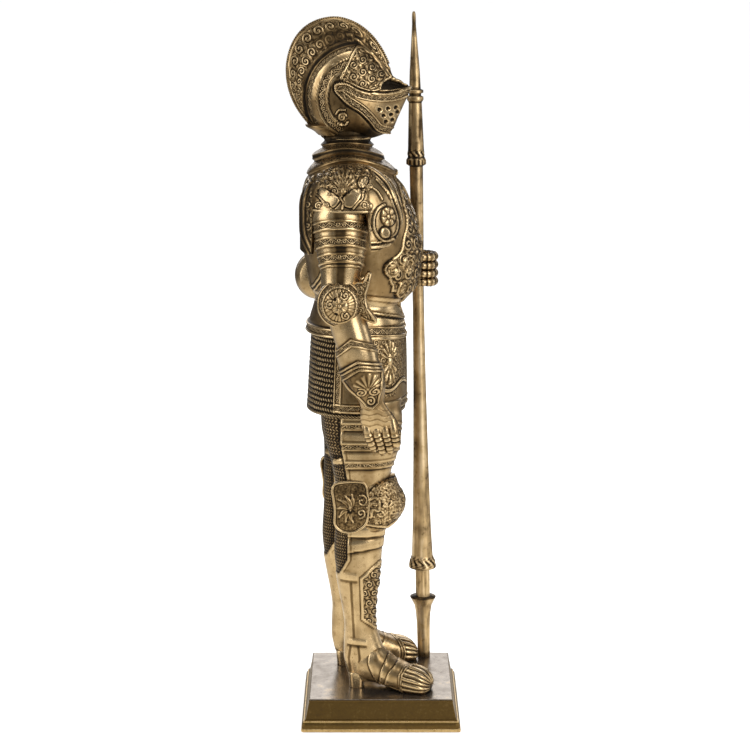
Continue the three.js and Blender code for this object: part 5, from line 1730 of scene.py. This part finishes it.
    def sabaton(self) -> Skin:
        """Shapes the shoe of lames, turned a little outwards, with a fluted toe.

        Returns:
            Its skin.
        """
        s = np.linspace(-1.3, 10.75, 112)
        table = through(self.foot, s)
        turn = angles(self.sides)
        width, low, high = (table[:, k][:, None] for k in range(3))
        across = width * squared(np.cos(turn), 2.5)
        up = (low + high) / 2 + (high - low) / 2 * squared(np.sin(turn), 2.3)
        splay = math.radians(self.splay_deg)
        along_foot = np.broadcast_to(s[:, None], across.shape)
        x = 5.05 + across * math.cos(splay) + along_foot * math.sin(splay)
        f = -2.9 + along_foot * math.cos(splay) - across * math.sin(splay)
        rings = self.placed(np.stack([x, f, np.maximum(up, 0.02)], axis=-1))
        skin = Skin(rings, 0.82)
        side_f, z = skin.f - self.stride, drawn(skin, 7.4)
        upper = rise(z - 0.9, 0.2)
        for edge in self.instep:
            off = off_line(edge, side_f, z, 5)
            skin.lift(rise(off, 0.06) * rise(1.6 - off, 0.7) * upper, 0.6)
            skin.crease(off + 0.06, upper)
            skin.paint(within(off - 0.14, 0.12, 0.06) * upper, 1.0)
        band = along_foot + 0.24 * across - 7.2
        toe = rise(band - 0.3)
        flutes = np.broadcast_to(np.abs(np.cos(turn * 8.5)), across.shape)
        ribbed = toe * rise(up - 0.5, 0.3)
        skin.lift(flutes * ribbed, 1.0)
        skin.paint(ribbed, 0.95)
        skin.paint(ribbed * rise(0.4 - flutes, 0.2), 0.3)
        skin.ridge(band, 0.12, 0.5)
        skin.ridge(band - 0.32, 0.12, 0.5)
        skin.ridge(up - low - 0.75, 0.12, 0.3, between(along_foot, 3.0, 7, 0.2))
        skin.paint(rise(0.45 - (up - low), 0.15), 0.12)
        return skin

    def heel(self) -> Skin:
        """Shapes the block under the heel.

        Returns:
            Its skin.
        """
        rows = [(-0.2, -4.75, -2.5, 1.7, 5.05), (0.05, -4.75, -2.5, 1.75, 5.05),
                (1.2, -4.85, -2.45, 1.85, 5.05), (2.4, -4.9, -2.4, 1.9, 5.05)]
        # Painted light: the heel block is painted nearly at full brightness, so that it shows bright though
        # it sits in shadow.
        return Skin(self.placed(level_rings(rows, np.linspace(0.0, 2.4, 14), 60, square=3.2)), 0.97)

    def build(self, material: Material) -> Thing:
        """Builds the leg."""
        skins = (self.carved(), self.knee(), self.wing_skin(), self.sabaton(), self.heel())
        return cast(f"leg_{self.side.name.lower()}", skins, material)


def lance_axis(height: float) -> tuple[float, float]:
    """Gives the lance's x and f, in shares, at a height in shares over the plinth."""
    ahead = LANCE_FOOT_MM - LANCE_LEAN_MM * height * SHARE_MM / LANCE_LENGTH_MM
    return (LANCE_X_MM - FIGURE_OFFSET_X_MM) / SHARE_MM, ahead / SHARE_MM


@dataclass
class Lance:
    """The lance, turned from one profile, with leaves on its bell and its sleeve."""

    steps: int = 84
    profile: tuple = (
        (0, 4.6), (13, 4.75), (26, 4.97), (34, 5.5), (40, 6.53), (44.8, 8.93), (46, 9.6), (46.5, 9.6),
        (46.9, 5.2), (50, 5.2), (68.8, 5.2), (69.2, 9.9), (69.6, 10.1), (71.5, 9.9), (78.5, 7.8),
        (101.5, 6.79), (151.5, 5.6), (206, 4.7), (266, 4.1), (304, 4.1), (311, 4.5), (368, 4.85),
        (369.5, 7.05), (372.5, 7.05), (374.5, 5.9), (412, 4.75), (413.5, 4.72), (415.3, 5.95),
        (417.5, 5.95), (418.2, 4.3), (419.6, 4.3), (420.4, 5.95), (422.1, 5.95), (422.9, 4.1),
        (434.5, 3.69), (468.5, 1.35), (473.0, 1.4), (475.5, 1.3), (477.0, 0.85), (477.4, 0.4),
    )
    fine_spans: tuple = ((44.0, 80.0, 0.6), (366.0, 382.0, 0.5), (411.0, 424.0, 0.6))

    def stations(self) -> Array:
        """Lists the heights of the rings, close where the lance is carved.

        Returns:
            The heights in millimetres.
        """
        heights = set(np.round(np.linspace(0, 477.4, 110), 2)) | {row[0] for row in self.profile}
        for low, high, pitch in self.fine_spans:
            heights |= set(np.round(np.arange(low, high, pitch), 2))
        spread = [0.0]
        for height in sorted(heights):
            if height - spread[-1] > 0.19:
                spread.append(float(height))
        return np.array(spread)

    def turned(self) -> Thing:
        """Spins the profile round its axis, at the origin.

        Returns:
            The bare lance.
        """
        heights = self.stations()
        table = np.array(self.profile)
        radii = np.interp(heights, table[:, 0], table[:, 1])
        outline = [(0, 0, 0)] + [(r * MM, 0, h * MM) for h, r in zip(heights, radii)]
        outline.append((0, 0, float(heights[-1]) * MM))
        deselect()
        mesh = bpy.data.meshes.new("lance")
        mesh.from_pydata(outline, [(i, i + 1) for i in range(len(outline) - 1)], [])
        lance = bpy.data.objects.new("lance", mesh)
        bpy.context.scene.collection.objects.link(lance)
        lance.select_set(True)
        bpy.context.view_layer.objects.active = lance
        bpy.ops.object.mode_set(mode="EDIT")
        bpy.ops.mesh.select_all(action="SELECT")
        bpy.ops.mesh.spin(steps=self.steps, angle=TURN, center=(0, 0, 0), axis=(0, 0, 1))
        bpy.ops.mesh.select_all(action="SELECT")
        bpy.ops.mesh.remove_doubles(threshold=1e-6)
        bpy.ops.mesh.normals_make_consistent(inside=False)
        bpy.ops.object.mode_set(mode="OBJECT")
        return lance

    def relief(self, height: Array, turn: Array) -> tuple[Array, Array]:
        """Works out the carving's height in millimetres and its tone at each point.

        Args:
            height: Heights of the points in millimetres.
            turn: Their angles round the axis.

        Returns:
            The relief and the tone.
        """
        bell = between(height, 70.5, 77.5, 0.6)
        leaves = 0.5 + 0.5 * np.sin(turn * 12 + 1.6 * np.sin(height * 1.1)) * np.cos((height - 74) * 0.7)
        sleeve = rise(height - 373.5, 0.6) * rise(380 - height, 0.8)
        foliage = 0.5 + 0.5 * np.sin(turn * 9 + 1.6 * np.sin(height * 1.2)) * np.cos((height - 377) * 0.7)
        collar = within(height - 371, 2.0, 0.3)
        knurl = 0.5 + 0.5 * np.cos(turn * 14)
        grip = between(height, 48.5, 66.5, 0.4)
        raised = bell * (leaves - 0.4) * 1.0 + sleeve * (foliage - 0.45) * 0.75 + collar * (knurl - 0.5) * 0.5
        raised += grip * (knurl - 0.5) * 0.4
        tone = 0.72 - 0.5 * bell * rise(0.42 - leaves, 0.2) - 0.5 * sleeve * rise(0.45 - foliage, 0.2)
        tone += 0.2 * (bell * rise(leaves - 0.6, 0.2) + sleeve * rise(foliage - 0.6, 0.2))
        tone -= 0.4 * collar * rise(0.4 - knurl, 0.2)
        for edge in (46.7, 69.0, 311, 368.5, 374.4, 413.8, 418.8, 423):
            tone = tone - 0.4 * bead(height - edge, 0.9)
        tone = tone - 0.17 * rise(height - 311, 20) - 0.06 * rise(240 - height, 60)
        blotch = np.sin(2 * turn + 0.06 * height) + 0.8 * np.sin(0.13 * height + 1)
        blotch = blotch + 0.7 * np.sin(5 * turn - 0.09 * height)
        tone = tone - 0.36 * rise(blotch - 0.75, 0.5) * rise(height - 374, 4) * rise(432 - height, 10)
        return raised, np.clip(tone, 0, 1)

    def build(self, material: Material) -> Thing:
        """Builds the lance, carves it and leans it to where the fist holds it.

        Args:
            material: Its material.

        Returns:
            The lance.
        """
        lance = self.turned()
        mesh = lance.data
        points = np.empty(len(mesh.vertices) * 3)
        mesh.vertices.foreach_get("co", points)
        points = points.reshape(-1, 3) / MM
        radius, turn = np.hypot(points[:, 0], points[:, 1]), np.arctan2(points[:, 1], points[:, 0])
        raised, tone = self.relief(points[:, 2], turn)
        swell = np.where(radius > 0.4, 1 + raised / np.maximum(radius, 0.4), 1)
        lean = LANCE_LEAN_MM * points[:, 2] / LANCE_LENGTH_MM
        points[:, 0] = LANCE_X_MM + points[:, 0] * swell
        points[:, 1] = -LANCE_FOOT_MM + lean + points[:, 1] * swell
        points[:, 2] += PLINTH_HEIGHT_MM
        mesh.vertices.foreach_set("co", (points * MM).ravel())
        mesh.polygons.foreach_set("use_smooth", np.ones(len(mesh.polygons), dtype=bool))
        held = mesh.attributes.new("tone", "FLOAT", "POINT")
        held.data.foreach_set("value", tone.astype(np.float32))
        mesh.update()
        settle(lance, "lance", material)
        return lance


@dataclass
class Plinth:
    """The square plinth: a round lower band, a ledge, battered sides and a flat glossy top."""

    base_mm: float = 113.0
    band_mm: float = 7.5
    waist_mm: float = 108.6
    top_mm: float = 101.0

    def block(self, name: str, low_mm: float, high_mm: float, low: float, high: float,
              round_mm: float) -> Thing:
        """Makes one square course, wider below than above, with its edges rounded.

        Args:
            name: The course's name.
            low_mm: Its width at its foot.
            high_mm: Its width at its top.
            low: Height of its foot.
            high: Height of its top.
            round_mm: Radius of its edges.

        Returns:
            The course.
        """
        deselect()
        bpy.ops.mesh.primitive_cube_add(size=1)
        course = bpy.context.object
        course.name = name
        for corner in course.data.vertices:
            over = corner.co.z > 0
            half = (high_mm if over else low_mm) * MM / 2
            height = (high if over else low) * MM
            corner.co = (math.copysign(half, corner.co.x), math.copysign(half, corner.co.y), height)
        bpy.ops.object.mode_set(mode="EDIT")
        bpy.ops.mesh.select_all(action="SELECT")
        bpy.ops.mesh.bevel(offset=round_mm * MM, segments=5, profile=0.5)
        bpy.ops.object.mode_set(mode="OBJECT")
        return course

    def build(self, side: Material, top: Material, painted_highlight_bronze: Material) -> list[Thing]:
        """Builds the plinth's courses; its foot and the line above its band carry a painted highlight,
        brighter than its sides.

        Args:
            side: The sides' material.
            top: The top's.
            painted_highlight_bronze: The material of the foot and the line, a brighter bronze for a painted
                highlight.

        Returns:
            The courses.
        """
        foot, waist, head, height = self.base_mm, self.waist_mm, self.top_mm, PLINTH_HEIGHT_MM
        courses = []
        for name, low_mm, high_mm, low, high, round_mm, material in (
            ("plinth_band", foot - 0.6, foot - 0.6, 0, self.band_mm, 2.9, side),
            ("plinth_ledge", waist, waist, self.band_mm - 1.5, 8.6, 0.5, side),
            ("plinth_body", waist - 1.6, head + 0.6, 7.8, height - 1.1, 0.4, side),
            ("plinth_rim", head + 1.4, head + 1.4, height - 1.6, height - 0.7, 0.3, side),
            # The foot and the line above the band are bright with a painted highlight.
            ("plinth_foot", foot, foot, 0.1, 2.5, 0.9, painted_highlight_bronze),
            ("plinth_line", foot - 3.0, foot - 3.0, 6.5, 7.7, 0.4, painted_highlight_bronze),
            ("plinth_top", head, head, height - 1.2, height, 0.5, top),
        ):
            courses.append(self.block(name, low_mm, high_mm, low, high, round_mm))
            settle(courses[-1], "plinth", material)
        return courses


# Finishes

@dataclass(frozen=True)
class Bronze:
    """An antique bronze: dark wash in the hollows, rubbed metal on what stands proud."""

    name: str
    wash: tuple[float, float, float] = (0.017, 0.012, 0.007)
    shade: tuple[float, float, float] = (0.08, 0.049, 0.02)
    metal: tuple[float, float, float] = (0.29, 0.19, 0.085)
    rubbed: tuple[float, float, float] = (0.6, 0.44, 0.24)
    dull: float = 0.55
    polish: float = 0.23
    metallic: float = 0.94
    mottle: float = 0.22
    soot: float = 0.3
    streak: float = 0.12
    grain: float = 0.0
    level: float | None = None
    bump: float = 0.65
    bump_depth_m: float = 0.0007

    def material(self) -> Material:
        """Makes the node material, which reads the tone and the drawings that a piece carries.

        Returns:
            The material.
        """
        made = bpy.data.materials.new(self.name)
        made.use_nodes = True
        tree = made.node_tree
        tree.nodes.clear()
        links = tree.links
        out = tree.nodes.new("ShaderNodeOutputMaterial")
        shader = tree.nodes.new("ShaderNodeBsdfPrincipled")
        place = tree.nodes.new("ShaderNodeTexCoord")
        patina = tree.nodes.new("ShaderNodeGroup")
        patina.node_tree = patina_group()
        patina.inputs["Mottle"].default_value = self.mottle
        patina.inputs["Soot"].default_value = self.soot
        patina.inputs["Streak"].default_value = self.streak
        links.new(place.outputs["Object"], patina.inputs["Place"])
        if self.level is None:
            for label, kind in (("tone", "Fac"), ("grain", "Fac"), ("weave", "Vector"), ("vine", "Vector"),
                                ("scroll", "Vector")):
                held = tree.nodes.new("ShaderNodeAttribute")
                held.attribute_name = label
                links.new(held.outputs[kind], patina.inputs[label.capitalize()])
        else:
            patina.inputs["Tone"].default_value = self.level
            patina.inputs["Grain"].default_value = self.grain
        ramp = tree.nodes.new("ShaderNodeValToRGB")
        stops = ramp.color_ramp.elements
        stops[0].position, stops[0].color = 0.04, (*self.wash, 1)
        stops[1].position, stops[1].color = 1.0, (*self.rubbed, 1)
        for position, colour in ((0.32, self.shade), (0.68, self.metal)):
            stops.new(position).color = (*colour, 1)
        links.new(patina.outputs["Tone"], ramp.inputs["Fac"])
        links.new(ramp.outputs["Color"], shader.inputs["Base Color"])
        rough = tree.nodes.new("ShaderNodeMapRange")
        rough.inputs["To Min"].default_value = self.dull
        rough.inputs["To Max"].default_value = self.polish
        links.new(patina.outputs["Tone"], rough.inputs["Value"])
        links.new(rough.outputs["Result"], shader.inputs["Roughness"])
        shader.inputs["Metallic"].default_value = self.metallic
        bump = tree.nodes.new("ShaderNodeBump")
        bump.inputs["Strength"].default_value = self.bump
        bump.inputs["Distance"].default_value = self.bump_depth_m
        links.new(patina.outputs["Height"], bump.inputs["Height"])
        links.new(bump.outputs["Normal"], shader.inputs["Normal"])
        links.new(shader.outputs["BSDF"], out.inputs["Surface"])
        return made


class Value:
    """A number that flows through a group's nodes, so that a sum of them is written as a sum."""

    def __init__(self, socket: Socket) -> None:
        """Takes the socket that it comes from."""
        self.socket = socket

    def math(self, kind: str, *others: "Value | float", first: "Value | float | None" = None) -> "Value":
        """Adds a math node.

        Args:
            kind: Its operation.
            others: Its inputs after this value.
            first: An input before this value.

        Returns:
            Its result.
        """
        tree = self.socket.id_data
        node = tree.nodes.new("ShaderNodeMath")
        node.operation = kind
        values = (self, *others) if first is None else (first, self, *others)
        for socket, value in zip(node.inputs, values):
            if isinstance(value, Value):
                tree.links.new(value.socket, socket)
            else:
                socket.default_value = value
        return Value(node.outputs["Value"])

    def __add__(self, other: "Value | float") -> "Value":
        """Adds another value."""
        return self.math("ADD", other)

    def __sub__(self, other: "Value | float") -> "Value":
        """Takes another value away."""
        return self.math("SUBTRACT", other)

    def __rsub__(self, other: float) -> "Value":
        """Takes this value from a number."""
        return self.math("SUBTRACT", first=other)

    def __mul__(self, other: "Value | float") -> "Value":
        """Multiplies by another value."""
        return self.math("MULTIPLY", other)

    def __truediv__(self, other: "Value | float") -> "Value":
        """Divides by another value."""
        return self.math("DIVIDE", other)

    def fit(self, scale: "Value | float", base: "Value | float") -> "Value":
        """Multiplies by a scale and adds a base."""
        return self.math("MULTIPLY_ADD", scale, base)

    def reach(self, other: "Value") -> "Value":
        """Gives the length of this value and another at right angles to it."""
        return (self * self + other * other).math("SQRT")

    def bead(self, half: float) -> "Value":
        """Gives the section of a round ridge: 1 on its crest and 0 from half away."""
        part = self / half
        return (1.0 - part * part).math("MAXIMUM", 0.0).math("SQRT")


def parted(vector: Socket) -> list[Value]:
    """Takes a vector apart into its three values.

    Args:
        vector: The vector's socket.

    Returns:
        The values.
    """
    node = vector.id_data.nodes.new("ShaderNodeSeparateXYZ")
    vector.id_data.links.new(vector, node.inputs["Vector"])
    return [Value(socket) for socket in node.outputs]


def noise(place: Socket, scale: float, detail: float, middle: float = 0.5) -> Value:
    """Adds a noise texture.

    Args:
        place: The place that it is read at.
        scale: Its scale.
        detail: Its detail.
        middle: What is taken from it, so that it runs both ways from zero.

    Returns:
        Its value.
    """
    node = place.id_data.nodes.new("ShaderNodeTexNoise")
    node.inputs["Scale"].default_value = scale
    node.inputs["Detail"].default_value = detail
    place.id_data.links.new(place, node.inputs["Vector"])
    value = Value(node.outputs["Fac"])
    return value - middle if middle else value


def vine(u: Value, v: Value) -> Value:
    """Draws a running vine one unit tall: a wave, with a curl in each bend and buds between.

    Args:
        u: Place along it.
        v: Place across it, from 0 to 1.

    Returns:
        Its height, from 0 to 1.
    """
    bend_length = 1.1
    place = u / bend_length
    bend = place.math("FLOOR")
    across = (place - bend - 0.5) * bend_length
    flip = (bend * 0.5).math("FRACT").fit(-4.0, 1.0)
    up = (v - 0.5) * flip
    wave = (across * (math.pi / bend_length)).math("COSINE") * 0.32
    stem = (up - wave).bead(0.12)
    curl = (across.reach(up + 0.08) - 0.2).bead(0.075)
    side = across.math("ABSOLUTE") - 0.46
    bud = side.reach(up + 0.32).bead(0.12)
    return stem.math("MAXIMUM", curl).math("MAXIMUM", bud)


def scroll(u: Value, v: Value) -> Value:
    """Draws staggered rows of coiled scrolls, each inside a fringe of leaves.

    Args:
        u: Place across them, in scrolls.
        v: Place up them, in rows.

    Returns:
        Their height, from 0 to 1.
    """
    row = v.math("FLOOR")
    odd = (row * 0.5).math("FRACT")
    moved = u + odd
    column = moved.math("FLOOR")
    a = moved - column - 0.5
    b = v - row - 0.5
    cell = ((row + column) * 0.5).math("FRACT")
    hand = cell.fit(-4.0, 1.0)
    reach = a.reach(b)
    turn = b.math("ARCTAN2", a) / TURN * hand
    turn = turn + column.fit(0.37, row * 0.61)
    wound = (reach / 0.27 - turn).math("FRACT") - 0.5
    coil = wound.bead(0.29) * reach.math("LESS_THAN", 0.41)
    lobes = (turn * (5 * math.pi)).math("COSINE").math("ABSOLUTE")
    fringe = (reach - 0.53).bead(0.12) * lobes
    return coil.math("MAXIMUM", fringe)


def patina_group() -> bpy.types.NodeTree:
    """Makes, once, the group that weathers a tone and gives the height of mail, grain and casting skin.

    Returns:
        The group.
    """
    name = "patina"
    if name in bpy.data.node_groups:
        return bpy.data.node_groups[name]
    group = bpy.data.node_groups.new(name, "ShaderNodeTree")
    for label, kind in (("Place", "Vector"), ("Tone", "Float"), ("Grain", "Float"), ("Weave", "Vector"),
                        ("Vine", "Vector"), ("Scroll", "Vector"), ("Mottle", "Float"), ("Soot", "Float"),
                        ("Streak", "Float")):
        group.interface.new_socket(label, in_out="INPUT", socket_type=f"NodeSocket{kind}")
    for label in ("Tone", "Height"):
        group.interface.new_socket(label, in_out="OUTPUT", socket_type="NodeSocketFloat")
    patch_gain, mottle_gain, streak_gain, dust_gain = 5.0, 2.0, 2.5, 2.6
    strand_lean, ring_gain, ring_middle, pore_height, pit_height = 0.8, 0.85, 0.36, 0.13, 1.6
    given, result = group.nodes.new("NodeGroupInput").outputs, group.nodes.new("NodeGroupOutput")
    place = given["Place"]
    tone, grain, mottle, soot, streak = (
        Value(given[label]) for label in ("Tone", "Grain", "Mottle", "Soot", "Streak")
    )
    cloud = noise(place, *CLOUD)
    patch = (noise(place, *PATCH, 0.52) * patch_gain).math("MAXIMUM", 0.0)
    speck = noise(place, *SPECK)
    stretch = group.nodes.new("ShaderNodeVectorMath")
    stretch.operation = "MULTIPLY"
    stretch.inputs[1].default_value = (1.0, 1.0, 0.12)
    group.links.new(place, stretch.inputs[0])
    run = noise(stretch.outputs["Vector"], *STREAK)
    around, up, mail = parted(given["Weave"])
    row = up.math("FLOOR")
    part = up - row
    lean = row.math("MODULO", 2.0) * 2.0 - 1.0
    turn = around + lean * part * strand_lean
    strand = (turn * TURN).math("SINE")
    arch = (part * math.pi).math("SINE")
    ring = strand.fit(0.5, 0.5) * arch
    shown = mail * (ring * ring_gain - ring_middle)
    dust = grain * (speck * dust_gain)
    tone = (cloud * mottle).fit(mottle_gain, tone)
    tone = tone - patch * soot
    fleck = noise(place, *FLECK, 0.57).math("MAXIMUM", 0.0)
    tone = fleck.fit(-1.0, tone)
    tone = (run * streak).fit(streak_gain, tone)
    height = mail * ring
    ground, bright = 0.12, 0.94
    for label, draw in (("Vine", vine), ("Scroll", scroll)):
        u, v, mask = parted(given[label])
        drawing = draw(u, v)
        drawn_tone = drawing.fit(bright - ground, ground)
        tone = (drawn_tone - tone).fit(mask, tone)
        height = drawing.fit(mask, height)
    tone = tone + shown + dust
    clamped = group.nodes.new("ShaderNodeClamp")
    group.links.new(tone.socket, clamped.inputs["Value"])
    group.links.new(clamped.outputs["Result"], result.inputs["Tone"])
    skin = noise(place, *PORES, 0.0) * pore_height
    deep = grain * (speck * pit_height)
    group.links.new((skin + deep + height).socket, result.inputs["Height"])
    return group


@dataclass
class Studio:
    """A pale floor, a white surround and five softboxes, the two largest beside the camera."""

    camera_distance_mm: float = 1480.4
    camera_back_mm: float = 4.2
    camera_height_mm: float = 553.5
    camera_tilt_deg: float = 11.71
    lens_mm: float = 102.2
    floor_half_m: float = 30.0
    white: float = 1.2
    dim: float = 0.17
    glow_m: tuple[float, float] = (0.1, 1.3)
    aim_m: float = 0.26
    lamps: tuple = (
        ("softbox behind", 66, 0.65, (0.8, 1.5), 10, 1.3),
        ("softbox before", -44, 0.75, (0.85, 1.4), 14, 1.3),
        ("softbox overhead", 0, 1.9, (1.0, 1.0), 8, 0.15),
        ("softbox ahead", -102, 0.5, (0.5, 1.0), 3, 1.3),
        ("softbox far side", 180, 0.7, (1.6, 0.9), 9, 1.6),
    )

    def camera(self) -> None:
        """Sets the camera at the photo's viewing angle, level with the figure's right side."""
        data = bpy.data.cameras.new("camera")
        data.lens = self.lens_mm
        data.sensor_width = 36
        data.clip_end = 200
        eye = bpy.data.objects.new("camera", data)
        eye.location = (-self.camera_distance_mm * MM, self.camera_back_mm * MM, self.camera_height_mm * MM)
        eye.rotation_euler = (math.radians(90 - self.camera_tilt_deg), 0, math.radians(-90))
        bpy.context.scene.collection.objects.link(eye)
        bpy.context.scene.camera = eye

    def softbox(self, name: str, turn_deg: float, height: float, size: tuple[float, float], power: float,
                distance: float) -> None:
        """Hangs a softbox that faces the statue's middle.

        Args:
            name: Its name.
            turn_deg: How far round it stands from the camera's side, plus towards the figure's back.
            height: Its middle's height in metres.
            size: Its width and height in metres.
            power: Its power in watts.
            distance: Its distance in metres.
        """
        data = bpy.data.lights.new(name, "AREA")
        data.shape = "RECTANGLE"
        data.size, data.size_y = size
        data.energy = power
        lamp = bpy.data.objects.new(name, data)
        lamp.visible_camera = False
        turn = math.radians(turn_deg)
        lamp.location = (-distance * math.cos(turn), distance * math.sin(turn), height)
        down = math.atan2(height - self.aim_m, distance)
        lamp.rotation_euler = (math.radians(90) - down, 0, math.radians(-90) - turn)
        bpy.context.scene.collection.objects.link(lamp)

    def surround(self) -> None:
        """Makes the surround white to the camera and to the floor, and dim in the metal's reflections."""
        world = bpy.data.worlds.new("surround")
        world.use_nodes = True
        tree = world.node_tree
        tree.nodes.clear()
        out = tree.nodes.new("ShaderNodeOutputWorld")
        seen, lit = tree.nodes.new("ShaderNodeBackground"), tree.nodes.new("ShaderNodeBackground")
        seen.inputs["Color"].default_value = (1, 1, 1, 1)
        seen.inputs["Strength"].default_value = self.white
        lit.inputs["Color"].default_value = (0.95, 0.97, 1, 1)
        lit.inputs["Strength"].default_value = self.dim
        path, mix = tree.nodes.new("ShaderNodeLightPath"), tree.nodes.new("ShaderNodeMixShader")
        tree.links.new(path.outputs["Is Glossy Ray"], mix.inputs["Fac"])
        tree.links.new(seen.outputs["Background"], mix.inputs[1])
        tree.links.new(lit.outputs["Background"], mix.inputs[2])
        tree.links.new(mix.outputs["Shader"], out.inputs["Surface"])
        bpy.context.scene.world = world

    def floor(self) -> None:
        """Lays the pale floor; in reflections it shows painted light near the plinth, painted shade far off.
        """
        deselect()
        bpy.ops.mesh.primitive_plane_add(size=2 * self.floor_half_m, location=(0, 0, -0.0002))
        floor = bpy.context.object
        floor.name = "floor"
        made = bpy.data.materials.new("pale floor")
        made.use_nodes = True
        tree = made.node_tree
        shader = tree.nodes["Principled BSDF"]
        shader.inputs["Roughness"].default_value = 0.8
        place, reach = tree.nodes.new("ShaderNodeTexCoord"), tree.nodes.new("ShaderNodeVectorMath")
        reach.operation = "LENGTH"
        tree.links.new(place.outputs["Object"], reach.inputs[0])
        far = tree.nodes.new("ShaderNodeMapRange")
        far.inputs["From Min"].default_value, far.inputs["From Max"].default_value = self.glow_m
        tree.links.new(reach.outputs["Value"], far.inputs["Value"])
        fade, mix = tree.nodes.new("ShaderNodeMix"), tree.nodes.new("ShaderNodeMix")
        fade.data_type = mix.data_type = "RGBA"
        fade.inputs["A"].default_value = (0.72, 0.69, 0.615, 1)
        fade.inputs["B"].default_value = (0.05, 0.05, 0.05, 1)
        tree.links.new(far.outputs["Result"], fade.inputs["Factor"])
        path = tree.nodes.new("ShaderNodeLightPath")
        mix.inputs["A"].default_value = (0.93, 0.93, 0.93, 1)
        tree.links.new(fade.outputs["Result"], mix.inputs["B"])
        tree.links.new(path.outputs["Is Glossy Ray"], mix.inputs["Factor"])
        tree.links.new(mix.outputs["Result"], shader.inputs["Base Color"])
        floor.data.materials.append(made)

    def build(self) -> None:
        """Sets up the camera, the lights, the surround and the floor."""
        self.camera()
        self.surround()
        self.floor()
        for lamp in self.lamps:
            self.softbox(*lamp)
        bpy.context.scene.view_settings.view_transform = "Standard"


def deselect() -> None:
    """Deselects everything, so that an operator acts on the new piece alone."""
    for thing in bpy.context.selected_objects:
        thing.select_set(False)


def report(piece: Thing) -> None:
    """Logs a finished piece with the number of its faces."""
    log.info("%s: %d faces", piece.name, len(piece.data.polygons))


def main() -> None:
    """Builds the statue piece by piece, then its studio."""
    logging.basicConfig(level=logging.INFO, format="%(name)s: %(message)s")
    figure = Bronze("figure bronze").material()
    pauldrons = Pauldron(Side.RIGHT, 150, 280), Pauldron(Side.LEFT, 100, 180)
    legs = Leg(Side.RIGHT, 0.0, 200, 118), Leg(Side.LEFT, -2.05, 150, 84)
    for part in (Helmet(), Cuirass(), *pauldrons, Skirt(), right_arm(), left_arm(), *legs):
        report(part.build(figure))
    shaft = Bronze("lance bronze", metal=(0.5, 0.35, 0.175), rubbed=(0.8, 0.62, 0.38), polish=0.3,
                   metallic=0.88, mottle=0.3, soot=0.35, streak=0.5)
    report(Lance().build(shaft.material()))
    sides = Bronze("plinth side bronze", metal=(0.118, 0.071, 0.02), rubbed=(0.3, 0.2, 0.08), dull=0.5,
                   polish=0.36, mottle=0.08, soot=0.1, streak=0.0, grain=0.14, level=0.66)
    # A brighter bronze that paints a highlight on the plinth's foot and on the line above its band.
    painted_highlight_bronze = Bronze("plinth edge bronze", metal=(0.45, 0.3, 0.12), rubbed=(0.8, 0.58, 0.28), mottle=0.15,
                  soot=0.1, streak=0.0, grain=0.15, level=0.8)
    top = Bronze("plinth top bronze", metal=(0.25, 0.21, 0.17), dull=0.3, polish=0.2, soot=0.15, level=0.66)
    for course in Plinth().build(sides.material(), top.material(), painted_highlight_bronze.material()):
        report(course)
    Studio().build()


if __name__ == "__main__":
    main()
